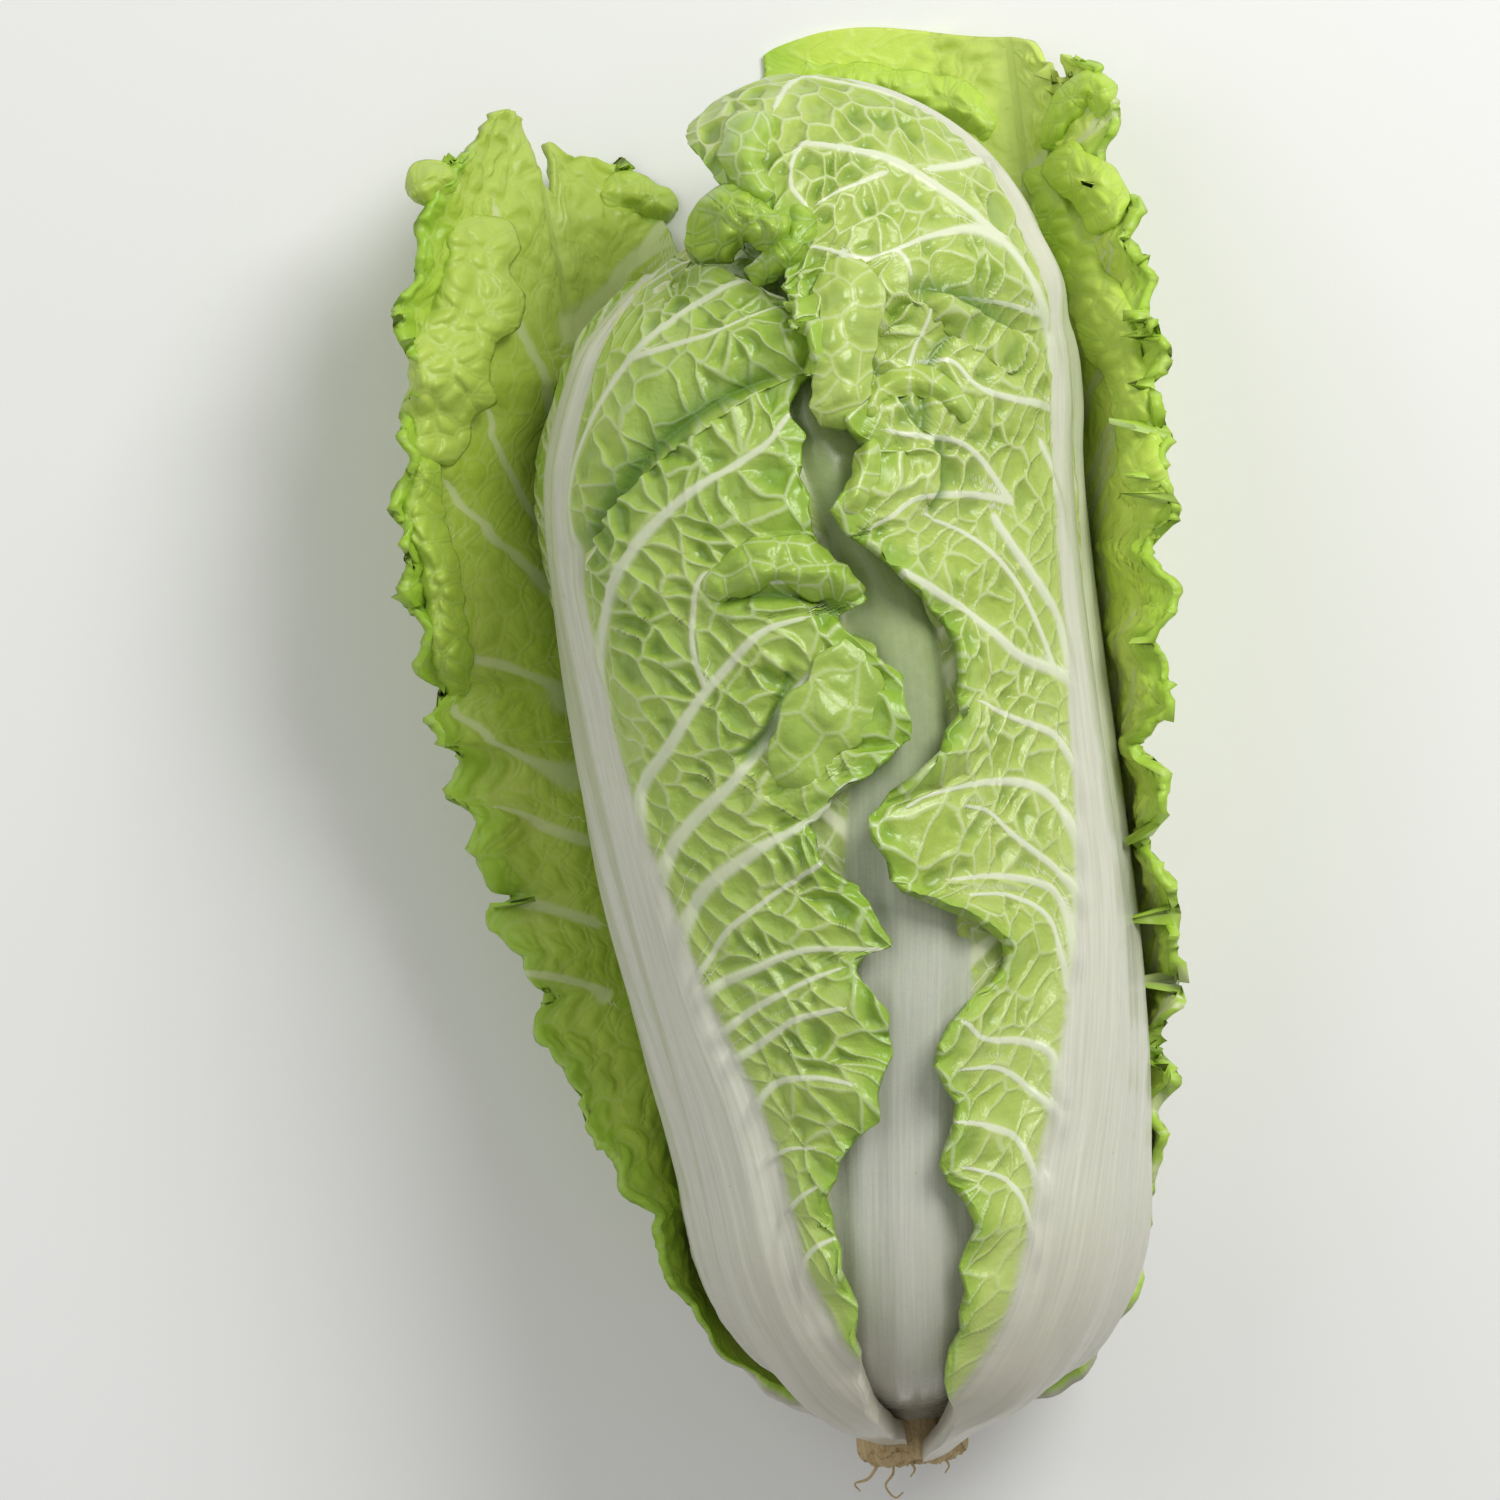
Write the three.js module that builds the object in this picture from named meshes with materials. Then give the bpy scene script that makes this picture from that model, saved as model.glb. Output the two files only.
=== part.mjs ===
// A head of napa cabbage, picked and lying on its side.
//
// Millimetres, +Z up. The head's own axis runs along +Y, from the cut stem to the leaf tips, and the
// origin lies on the surface that the head rests on, under the middle of that axis.
//
// The head is a solid heart of packed young leaves, wrapped in eight leaves that are each a separate
// piece, grown from one cut stem. A leaf is a sheet with a thick rib on its outer face, and every leaf
// is laid over the ones inside it, so the leaves never cut each other.
import * as THREE from "three";

// Driving dimensions of the head.
const lowerCentre = -98; // y of the centre of the rounded base
const upperCentre = 98; // y of the centre of the rounded top
const formRadius = 57; // radius on which lengths along and across a leaf are measured
const axisHeight = 59.1; // z of the head's axis
const layerGap = 1.25; // clear space between one leaf and the next
const edgeFade = 20; // length over which a leaf settles down past the edge of the one under it
const bridged = 1.5; // how much wider than a rib the hump is that a leaf makes over it
const laminaThickness = 1.0;
const stemRadius = 13;
const stemCut = -160.5; // y of the cut face
const stemTop = -122;
const socketClearance = 0.6; // round the stem, in the heart
const socketMouth = -134;
const openSteps = 24; // steps in which the section of an open leaf is drawn
const rowSlant = 1.7; // how steeply the rows of a leaf, and so its side ribs, climb to its edge
const ribCrowding = 0.9; // below 1 the points of a row stand closer to the edge, above 1 to the rib
const tipRound = 9; // how far the corners of a leaf's tip are rounded back
const lobeDepth = 2.4; // of the rounded lobes along the edge of an open leaf
const lobeLength = 26;
const leavingLength = 12; // over which an open leaf stops following the head
const leastRuffle = 0.35; // height of a ruffle between two of its waves, as a share of its full height
const ruffleEnds = 7; // how many times shorter than the ruffle the stretches are in which it starts and ends
const foldCrest = 4; // how far past its line a fold is at its highest

const pressSoftness = 0.8; // rounding where the pressed underside starts
const pressedStep = laminaThickness + 1.1; // from one pressed leaf to the next
const pressed = ["inner_leaf_back", "wrapper_leaf_left", "wrapper_leaf_right"]; // from the inside out
// The spot that carries the head, which stands a little proud of the rest of the underside.
const restSpot = { left: -14, right: 6, from: -68, to: 62, proud: 0.6, reach: 4 };

const degrees = Math.PI / 180;
const quarterArc = (formRadius * Math.PI) / 2;
const cylinderStart = quarterArc; // arc length from the base pole to the straight part
const cylinderEnd = cylinderStart + upperCentre - lowerCentre;
const topPole = cylinderEnd + quarterArc;

const clamp = (x, low, high) => Math.min(high, Math.max(low, x));
const mix = (a, b, t) => a + (b - a) * t;
const smooth = (x) => {
  const t = clamp(x, 0, 1);
  return t * t * (3 - 2 * t);
};

// Reads a list of [place, value] pairs as one smooth curve.
function along(points, x) {
  const last = points.length - 1;
  if (x <= points[0][0]) return points[0][1];
  if (x >= points[last][0]) return points[last][1];
  let k = 0;
  while (x > points[k + 1][0]) k++;
  const slope = (i) => {
    const a = points[Math.max(0, i - 1)];
    const b = points[Math.min(last, i + 1)];
    return (b[1] - a[1]) / (b[0] - a[0]);
  };
  const [x0, y0] = points[k];
  const [x1, y1] = points[k + 1];
  const h = x1 - x0;
  const t = (x - x0) / h;
  const a = y0 * (1 + 2 * t) + h * slope(k) * t;
  const b = y1 * (3 - 2 * t) - h * slope(k + 1) * (1 - t);
  return a * (1 - t) * (1 - t) + b * t * t;
}

// A place on the head: the point of the axis that it stands on, and the direction outwards.
// Below the lower centre the angle is measured round the stem. Above the upper centre a leaf bends
// straight over the top, so the direction there follows the leaf's own rib.
function placeOn(ribAngle, s, angle) {
  if (s < cylinderStart) {
    const tilt = (s - cylinderStart) / formRadius;
    return {
      foot: lowerCentre,
      x: Math.cos(tilt) * Math.cos(angle),
      y: Math.sin(tilt),
      z: Math.cos(tilt) * Math.sin(angle),
    };
  }
  if (s <= cylinderEnd)
    return {
      foot: lowerCentre + s - cylinderStart,
      x: Math.cos(angle),
      y: 0,
      z: Math.sin(angle),
    };
  const tilt = (s - cylinderEnd) / formRadius;
  const across = angle - ribAngle;
  const up = Math.cos(across) * Math.cos(tilt);
  return {
    foot: upperCentre,
    x: up * Math.cos(ribAngle) - Math.sin(across) * Math.sin(ribAngle),
    y: Math.cos(across) * Math.sin(tilt),
    z: up * Math.sin(ribAngle) + Math.sin(across) * Math.cos(ribAngle),
  };
}

// The same place read the other way, as a length along and an angle round, for a leaf whose rib
// stands at ribAngle over the top.
function readPlace(ribAngle, p) {
  const angle = Math.atan2(p.z, p.x);
  if (p.foot <= lowerCentre && p.y < 0)
    return { s: cylinderStart + Math.asin(clamp(p.y, -1, 1)) * formRadius, angle };
  if (p.foot < upperCentre || p.y <= 0)
    return { s: cylinderStart + p.foot - lowerCentre, angle };
  const up = p.x * Math.cos(ribAngle) + p.z * Math.sin(ribAngle);
  const across = p.z * Math.cos(ribAngle) - p.x * Math.sin(ribAngle);
  return {
    s: cylinderEnd + Math.atan2(p.y, up) * formRadius,
    angle: ribAngle + Math.asin(clamp(across, -1, 1)),
  };
}

const pointAt = (p, distance) =>
  new THREE.Vector3(p.x * distance, p.foot + p.y * distance, p.z * distance + axisHeight);

// The place over which a free point lies, and its distance from the axis.
function placeUnder(point) {
  const foot = clamp(point.y, lowerCentre, upperCentre);
  const out = new THREE.Vector3(point.x, point.y - foot, point.z - axisHeight);
  const distance = out.length();
  out.divideScalar(distance);
  return { foot, x: out.x, y: out.y, z: out.z, distance };
}

// The heart's radius along its right and its left side, from the base pole to the top pole. The left
// shoulder stands wider and lower than the right one.
const heartRight = [
  [0, 38], [20, 41], [50, 49], [90, 48], [130, 49], [170, 48], [230, 46], [285, 46], [312, 46],
  [340, 42], [375, 38],
];
const heartLeft = [
  [0, 38], [20, 41], [50, 50], [90, 49], [130, 53], [170, 58], [230, 62], [262, 61], [285, 54],
  [300, 45], [315, 38], [335, 35], [375, 38],
];

// Curled leaf tips that stand up from the heart's left shoulder, by their direction from the upper
// centre.
const curledTips = [
  { x: -0.22, y: 0.76, z: 0.61, height: 9, width: 20 },
  { x: -0.3, y: 0.46, z: 0.84, height: 7, width: 22 },
];

function heartRadius(p) {
  const { s } = readPlace(0, p);
  const level = p.foot >= upperCentre ? cylinderEnd + Math.asin(clamp(p.y, 0, 1)) * formRadius : s;
  const flat = Math.hypot(p.x, p.z) || 1;
  const leftShare = smooth((1 - p.x / flat) / 2);
  const curled = curledTips.reduce((sum, tip) => {
    const apart = Math.hypot(p.x - tip.x, p.y - tip.y, p.z - tip.z) * formRadius;
    return sum + (p.foot === upperCentre ? tip.height * (1 - smooth(apart / tip.width)) : 0);
  }, 0);
  return mix(along(heartRight, level), along(heartLeft, level), leftShare) + curled;
}

// Rib sizes from the stem outwards, as [length along the leaf, millimetres].
const broadRib = {
  width: [[15, 20], [45, 25], [90, 25], [140, 19], [200, 12], [260, 8], [310, 5.5], [380, 3]],
  height: [[15, 3], [45, 7], [110, 6.4], [170, 5], [230, 3.6], [300, 2.4], [380, 0.8]],
  sideRib: 0.9,
};
const innerRib = {
  width: [[15, 18], [60, 21], [120, 17], [180, 12], [240, 8], [300, 5]],
  height: [[15, 3.5], [60, 4], [140, 3.4], [220, 2.2], [300, 1]],
  sideRib: 0.4,
};

// The leaves from the inside outwards. rib, low and high give the angle round the head, in degrees, of
// the rib and of the two edges, along the leaf. tip is the leaf's length from the base pole.
const leaves = [
  {
    name: "inner_leaf_back", colour: 0xd9e0a0, start: 21, tip: 322, rows: 24, columns: 6,
    rib: [[20, 262], [300, 264]],
    low: [[20, 214], [90, 200], [200, 196], [285, 206], [322, 246]],
    high: [[20, 310], [90, 326], [200, 330], [285, 320], [322, 282]],
    ...innerRib,
  },
  {
    name: "inner_leaf_left", colour: 0xd3dd92, start: 20, tip: 326, rows: 24, columns: 6,
    rib: [[20, 176], [200, 172], [300, 170]],
    low: [[20, 130], [90, 112], [200, 106], [285, 104], [310, 118], [326, 152]],
    high: [[20, 224], [90, 236], [200, 240], [285, 236], [310, 218], [326, 188]],
    ...innerRib,
  },
  {
    name: "inner_leaf_right", colour: 0xd3dd92, start: 19, tip: 352, rows: 26, columns: 6,
    rib: [[20, 4], [200, 2], [300, 6]],
    low: [[20, -44], [90, -58], [200, -62], [285, -56], [330, -32], [352, -8]],
    high: [[20, 50], [90, 66], [200, 72], [285, 74], [330, 50], [352, 24]],
    ...innerRib,
  },
  {
    name: "inner_leaf_front", colour: 0xe6e8d6, start: 18, tip: 306, rows: 26, columns: 5,
    rib: [[20, 90], [80, 88], [120, 85], [170, 81], [225, 80], [262, 90], [300, 96]],
    low: [[20, 54], [70, 46], [130, 38], [220, 36], [285, 52], [306, 80]],
    high: [[20, 122], [70, 130], [130, 136], [220, 134], [285, 126], [306, 110]],
    width: [[15, 18], [50, 22], [100, 20], [150, 16], [210, 12], [262, 8], [300, 5]],
    height: [[15, 4.5], [50, 5], [130, 4.5], [200, 3.4], [262, 2.2], [300, 1]],
    sideRib: 0.4,
  },
  {
    name: "head_leaf_left", colour: 0xb9cf76, start: 17, tip: 318, rows: 44, columns: 6,
    rib: [
      [17, 108], [35, 111], [52, 119], [71, 126], [93, 130], [116, 134], [140, 141], [163, 145],
      [186, 150], [210, 154], [240, 158], [285, 156],
    ],
    low: [
      [17, 96], [33, 100], [50, 104], [68, 101], [90, 104], [100, 101], [112, 91], [135, 88],
      [146, 95], [150, 87], [158, 91], [172, 98], [181, 98], [191, 83], [204, 81], [215, 84],
      [223, 93], [228, 86], [240, 93], [256, 96], [268, 97], [280, 94], [293, 95], [306, 104],
      [318, 132],
    ],
    high: [[17, 150], [50, 186], [90, 206], [200, 216], [270, 212], [300, 196], [318, 172]],
    ruffle: { side: -1, from: 40, to: 262, height: 3.4, waves: 13 },
    folds: [
      {
        line: [[96, 281], [108, 276], [117, 270], [126, 264], [134, 257], [149, 242], [157, 228]],
        height: 3.6, rise: 8, run: 36, fade: 8,
      },
    ],
    ...broadRib,
  },
  {
    name: "head_leaf_right", colour: 0xbcd27a, start: 16, tip: 400, rows: 50, columns: 6,
    rib: [
      [16, 70], [28, 67], [44, 55], [64, 48], [86, 43], [109, 37], [131, 33], [154, 29], [200, 27],
      [246, 24], [285, 20],
    ],
    low: [[16, 22], [50, -10], [90, -34], [200, -40], [285, -34], [330, -26], [375, -12], [400, 8]],
    high: [
      [16, 82], [36, 74], [49, 79], [62, 76], [76, 78], [86, 76], [100, 80], [110, 77], [124, 80],
      [132, 76], [141, 63], [150, 64], [158, 80], [170, 88], [182, 86], [192, 75], [204, 69],
      [218, 70], [228, 77], [240, 86], [248, 91], [258, 84], [266, 87], [278, 93], [292, 96],
      [320, 94], [340, 90], [356, 80], [372, 78], [386, 66], [400, 34],
    ],
    ruffle: { side: 1, from: 40, to: 340, height: 3.6, waves: 15 },
    folds: [
      {
        line: [[33, 273], [48, 279], [60, 288], [70, 300], [82, 284], [92, 268]],
        height: 3.6, rise: 8, run: 30, fade: 8,
      },
    ],
    // The top of this leaf stands clear of the heart like a hood.
    hood: [[262, 0], [285, 51], [312, 57], [345, 60], [376, 62], [400, 57]],
    ...broadRib,
  },
  {
    name: "wrapper_leaf_left", colour: 0xa9c95c, start: 16, tip: 344, rows: 46, columns: 7,
    rib: [[16, 236], [60, 236], [90, 234], [150, 227], [210, 219], [256, 213], [344, 212]],
    low: [[16, 190], [344, 190]],
    high: [[16, 258], [60, 268], [100, 272], [230, 270], [270, 252], [310, 246], [344, 226]],
    // The outer half of the leaf opens away from the head.
    open: {
      side: -1,
      width: [
        [16, 14], [40, 38], [62, 56], [90, 50], [125, 48], [157, 50], [190, 54], [237, 58], [270, 57],
        [300, 55], [325, 46], [344, 28],
      ],
      follow: [[16, 40], [60, 38], [90, 22], [125, 6], [157, 0]],
      bend: [[60, 0.012], [90, 0.004], [125, -0.006], [190, -0.009], [270, -0.007], [344, -0.004]],
      lift: [[240, 0], [285, 6], [344, 14]],
    },
    ruffle: { side: -1, from: 84, to: 340, height: 6, waves: 11 },
    ...broadRib,
  },
  {
    name: "wrapper_leaf_right", colour: 0x9fc34c, start: 16, tip: 358, rows: 50, columns: 7,
    rib: [[16, 326], [60, 324], [120, 326], [200, 328], [285, 327], [358, 318]],
    low: [[16, 286], [60, 264], [100, 258], [230, 258], [270, 266], [330, 266], [358, 288]],
    high: [[16, 360], [358, 360]],
    open: {
      side: 1,
      width: [
        [16, 16], [40, 32], [80, 48], [99, 54], [130, 60], [180, 64], [230, 66], [290, 54], [320, 40],
        [345, 30], [358, 18],
      ],
      follow: [[16, 36], [90, 34], [150, 28], [220, 22], [358, 10]],
      bend: [[60, 0.014], [100, 0.006], [180, -0.004], [290, -0.006], [358, -0.002]],
      lift: [[240, 0], [285, 3], [358, 12]],
    },
    ruffle: { side: 1, from: 84, to: 352, height: 6, waves: 13 },
    ...broadRib,
  },
];

for (const leaf of leaves) leaf.topAngle = along(leaf.rib, cylinderEnd) * degrees;

// Rib angle and edge angles at a length along the leaf, in radians.
const ribAt = (leaf, s) => along(leaf.rib, s) * degrees;
const lowAt = (leaf, s) => along(leaf.low, s) * degrees;
const highAt = (leaf, s) => along(leaf.high, s) * degrees;

// Brings an angle to within half a turn of another.
function near(angle, other) {
  const turns = Math.round((other - angle) / (2 * Math.PI));
  return angle + turns * 2 * Math.PI;
}

// Radius of the circle round the axis at a length along, for measuring across a leaf.
const girthRadius = (s) =>
  s < cylinderStart ? formRadius * Math.cos((s - cylinderStart) / formRadius) : formRadius;

// Leaf thickness at a distance across from its rib: the sheet, and the rounded rib on it. A leaf laid
// over it bridges the rib, which is read here as a wider rib.
function thicknessAt(leaf, s, across, widened = 1) {
  const share = Math.abs(across) / (along(leaf.width, s) * widened);
  const rib = share < 1 ? along(leaf.height, s) * (1 - share * share) ** 1.5 : 0;
  return laminaThickness + rib;
}

// Height of the folds in a leaf: its sheet stands up along a line, higher on the line's tip side.
function foldAt(leaf, s, angle) {
  let height = 0;
  for (const fold of leaf.folds ?? []) {
    const place = angle / degrees;
    const [first] = fold.line[0];
    const [last] = fold.line[fold.line.length - 1];
    const beside = Math.min(place - first, last - place);
    const above = s - along(fold.line, place);
    const ends = smooth((beside + fold.fade) / fold.fade);
    const past = 1 - smooth((above - foldCrest) / fold.run);
    height += fold.height * ends * smooth(above / fold.rise + 0.5) * past;
  }
  return height;
}

// Height of the waves that a free edge stands up in. share runs from 0 at the rib to 1 at the edge.
function ruffleAt(leaf, s, share) {
  const r = leaf.ruffle;
  if (!r || s < r.from || s > r.to || Math.sign(share) !== r.side) return 0;
  const t = (s - r.from) / (r.to - r.from);
  const ends = smooth(t * ruffleEnds) * smooth((1 - t) * ruffleEnds);
  const turns = r.waves * t + 0.2 * Math.sin(9 * t); // waves of uneven length
  const wave = 0.5 - 0.5 * Math.cos(2 * Math.PI * turns);
  return r.height * ends * Math.abs(share) ** 3 * mix(leastRuffle, 1, wave);
}

// The larger of two lengths, with the corner between them rounded off.
function softMax(a, b, softness) {
  const gap = Math.max(softness - Math.abs(a - b), 0) / softness;
  return Math.max(a, b) + (gap * gap * softness) / 4;
}

// Distance from the axis at which a leaf lies, given what is under it. A hood stands clear of the heart.
const seatOf = (leaf, s, distance) =>
  leaf.hood ? softMax(distance, along(leaf.hood, s), 5) : distance;

// Distance from the axis over one more leaf, which fades out past its edges.
function overLeaf(leaf, p, distance) {
  const { s, angle: raw } = readPlace(leaf.topAngle, p);
  const rib = ribAt(leaf, s);
  const angle = near(raw, rib);
  const low = lowAt(leaf, s);
  const high = highAt(leaf, s);
  const girth = Math.max(14, girthRadius(s));
  const inside = Math.min((angle - low) * girth, (high - angle) * girth, leaf.tip - s);
  const cover = smooth((inside + edgeFade) / edgeFade);
  if (cover === 0) return distance;
  const side = angle < rib ? low : high;
  const share = clamp((angle - rib) / Math.abs(side - rib || 1), -1, 1);
  const thickness = thicknessAt(leaf, s, (angle - rib) * girth, bridged);
  const raised = ruffleAt(leaf, s, share) + foldAt(leaf, s, angle);
  return mix(distance, seatOf(leaf, s, distance) + thickness + raised + layerGap, cover);
}

// Distance from the axis to the inner face of leaf number `order` over a place.
const innerDistance = (order, p) =>
  leaves.slice(0, order).reduce((sum, leaf) => overLeaf(leaf, p, sum), heartRadius(p) + layerGap);

// A leaf that lies on the head: inner and outer point for a place on it.
function layOnHead(leaf, order, s, angle, share) {
  const p = placeOn(leaf.topAngle, s, angle);
  const seat = seatOf(leaf, s, innerDistance(order, p));
  const inner = seat + ruffleAt(leaf, s, share) + foldAt(leaf, s, angle);
  const across = (angle - ribAt(leaf, s)) * Math.max(14, girthRadius(s));
  const outer = inner + thicknessAt(leaf, s, across);
  return [pointAt(p, inner), pointAt(p, outer)];
}

// A leaf that opens away from the head. One side of it lies on the head. The other starts on the head at
// the rib and follows it for a while, then bends by itself and spreads out. Past the upper centre both
// run straight on. Only the inner face is placed here.
function openFromHead(leaf, order, s, share) {
  const o = leaf.open;
  const rib = ribAt(leaf, s);
  const opens = Math.sign(share) === o.side;
  const edge = share < 0 ? lowAt(leaf, s) : highAt(leaf, s);
  const angle = opens ? rib : rib + Math.abs(share) * (edge - rib);
  const p = placeOn(rib, Math.min(s, cylinderEnd), angle);
  const distance = innerDistance(order, p) + along(o.lift, s);
  const at = pointAt(p, distance);
  at.y += Math.max(0, s - cylinderEnd);
  if (!opens) return at;
  const radius = distance * Math.hypot(p.x, p.z);
  const lobe = lobeDepth * Math.sin((2 * Math.PI * s) / lobeLength) * share * share;
  const step = (Math.abs(share) * along(o.width, s) + lobe) / openSteps;
  let heading = rib + (o.side * Math.PI) / 2;
  for (let k = 0; k < openSteps; k++) {
    const leaving = smooth(((k + 0.5) * step - along(o.follow, s)) / leavingLength + 0.5);
    heading += o.side * mix(1 / radius, along(o.bend, s), leaving) * step;
    at.x += Math.cos(heading) * step;
    at.z += Math.sin(heading) * step;
  }
  return at;
}

// Moves a point out from the head until it clears everything that lies inside it.
function clearOfHead(order, point) {
  const p = placeUnder(point);
  const least = innerDistance(order, p);
  return p.distance >= least ? point : pointAt(p, least);
}

// The grid of a leaf: rows climb outwards from the rib, as its side ribs do.
function leafGrid(leaf, order) {
  const inner = [];
  const outer = [];
  for (let i = 0; i <= leaf.rows; i++) {
    const u = i / leaf.rows;
    const atRib = leaf.start + (leaf.tip - leaf.start) * u;
    const atEdge = leaf.start + (leaf.tip - leaf.start) * (1 - (1 - u) ** rowSlant);
    const innerRow = [];
    const outerRow = [];
    for (let j = -leaf.columns; j <= leaf.columns; j++) {
      const share = Math.sign(j) * (Math.abs(j) / leaf.columns) ** ribCrowding;
      const s = mix(atRib, atEdge, Math.abs(share) ** 1.2) - tipRound * share * share * u ** 6;
      const rib = ribAt(leaf, s);
      const edge = share < 0 ? lowAt(leaf, s) : highAt(leaf, s);
      const angle = rib + Math.abs(share) * (edge - rib);
      if (leaf.open) {
        innerRow.push(clearOfHead(order, openFromHead(leaf, order, s, share)));
        outerRow.push({ s, share });
      } else {
        const [a, b] = layOnHead(leaf, order, s, angle, share);
        innerRow.push(a);
        outerRow.push(b);
      }
    }
    inner.push(innerRow);
    outer.push(outerRow);
  }
  if (leaf.open) thickenOpenLeaf(leaf, inner, outer);
  return { inner, outer };
}

// Direction away from the head at a grid point, square to the sheet.
function sheetNormal(grid, i, j) {
  const a = grid[Math.min(i + 1, grid.length - 1)][j];
  const b = grid[Math.max(i - 1, 0)][j];
  const row = grid[i];
  const c = row[Math.min(j + 1, row.length - 1)];
  const d = row[Math.max(j - 1, 0)];
  const upwards = new THREE.Vector3().subVectors(a, b);
  const across = new THREE.Vector3().subVectors(c, d);
  return upwards.cross(across).normalize();
}

function thickenOpenLeaf(leaf, inner, outer) {
  const normals = inner.map((row, i) => row.map((_, j) => sheetNormal(inner, i, j)));
  inner.forEach((row, i) =>
    row.forEach((point, j) => {
      const { s, share } = outer[i][j];
      const opens = Math.sign(share) === leaf.open.side;
      const width = opens ? along(leaf.open.width, s) : formRadius;
      const thickness = thicknessAt(leaf, s, Math.abs(share) * width);
      point.addScaledVector(normals[i][j], ruffleAt(leaf, s, share));
      outer[i][j] = point.clone().addScaledVector(normals[i][j], thickness);
    }),
  );
}

// The surface is at z = 0. What would sink into it is pressed flat, each layer on the one below.
function pressTo(level, point) {
  point.z = point.z > level + 2 * pressSoftness ? point.z : softMax(point.z, level, pressSoftness);
}

function pressFlat(order, { inner, outer }) {
  const below = pressed.length - 1 - pressed.indexOf(leaves[order].name);
  const level = pressed.includes(leaves[order].name) ? below * pressedStep : 0;
  const raised = level || restSpot.proud;
  outer.flat().forEach((point) => pressTo(raised, point));
  inner.flat().forEach((point) => pressTo(raised + laminaThickness, point));
  if (leaves[order].name === pressed[pressed.length - 1]) outer.flat().forEach(pressRestSpot);
}

// Presses a point of the underside down to the surface. The spot's sides are straight, so that it
// rests on its corners.
function pressRestSpot(point) {
  const { left, right, from, to, proud, reach } = restSpot;
  if (point.z > proud + 0.05 || point.y < from || point.y > to) return;
  if (point.x < left - reach || point.x > right + reach) return;
  if (point.x < left + reach) point.x = left;
  if (point.x > right - reach) point.x = right;
  point.z = 0;
}

// A raised side rib on every third row of the outer face, lower towards the edge.
function raiseSideRibs(leaf, { inner, outer }) {
  const every = 3;
  outer.forEach((row, i) => {
    if (i % every || i === 0 || i === leaf.rows) return;
    row.forEach((point, j) => {
      const share = Math.abs(j - leaf.columns) / leaf.columns;
      const out = new THREE.Vector3().subVectors(point, inner[i][j]).normalize();
      point.addScaledVector(out, leaf.sideRib * smooth(share * 4) * (1 - 0.7 * share));
    });
  });
}

// Joins two equal grids of points into one closed mesh, with the same triangles on both faces.
function closedSheet({ inner, outer }) {
  const rows = inner.length;
  const columns = inner[0].length;
  const points = [...outer.flat(), ...inner.flat()];
  const half = rows * columns;
  const at = (i, j) => i * columns + j;
  const faces = [];
  const add = (a, b, c) => faces.push(a, b, c);
  for (let i = 0; i < rows - 1; i++)
    for (let j = 0; j < columns - 1; j++) {
      const a = at(i, j);
      const b = at(i, j + 1);
      const c = at(i + 1, j + 1);
      const d = at(i + 1, j);
      const leans = j < (columns - 1) / 2;
      const pair = leans ? [[a, b, c], [a, c, d]] : [[a, b, d], [b, c, d]];
      for (const [p, q, r] of pair) {
        add(p, r, q);
        add(half + p, half + q, half + r);
      }
    }
  const rim = [];
  for (let j = 0; j < columns; j++) rim.push(at(0, j));
  for (let i = 1; i < rows; i++) rim.push(at(i, columns - 1));
  for (let j = columns - 2; j >= 0; j--) rim.push(at(rows - 1, j));
  for (let i = rows - 2; i > 0; i--) rim.push(at(i, 0));
  rim.forEach((p, k) => {
    const q = rim[(k + 1) % rim.length];
    add(p, q, half + q);
    add(p, half + q, half + p);
  });
  const geometry = new THREE.BufferGeometry();
  geometry.setAttribute(
    "position",
    new THREE.Float32BufferAttribute(points.flatMap((v) => [v.x, v.y, v.z]), 3),
  );
  geometry.setIndex(faces);
  return geometry;
}

function leafGeometry(leaf, order) {
  const grid = leafGrid(leaf, order);
  raiseSideRibs(leaf, grid);
  pressFlat(order, grid);
  return closedSheet(grid);
}

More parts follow.
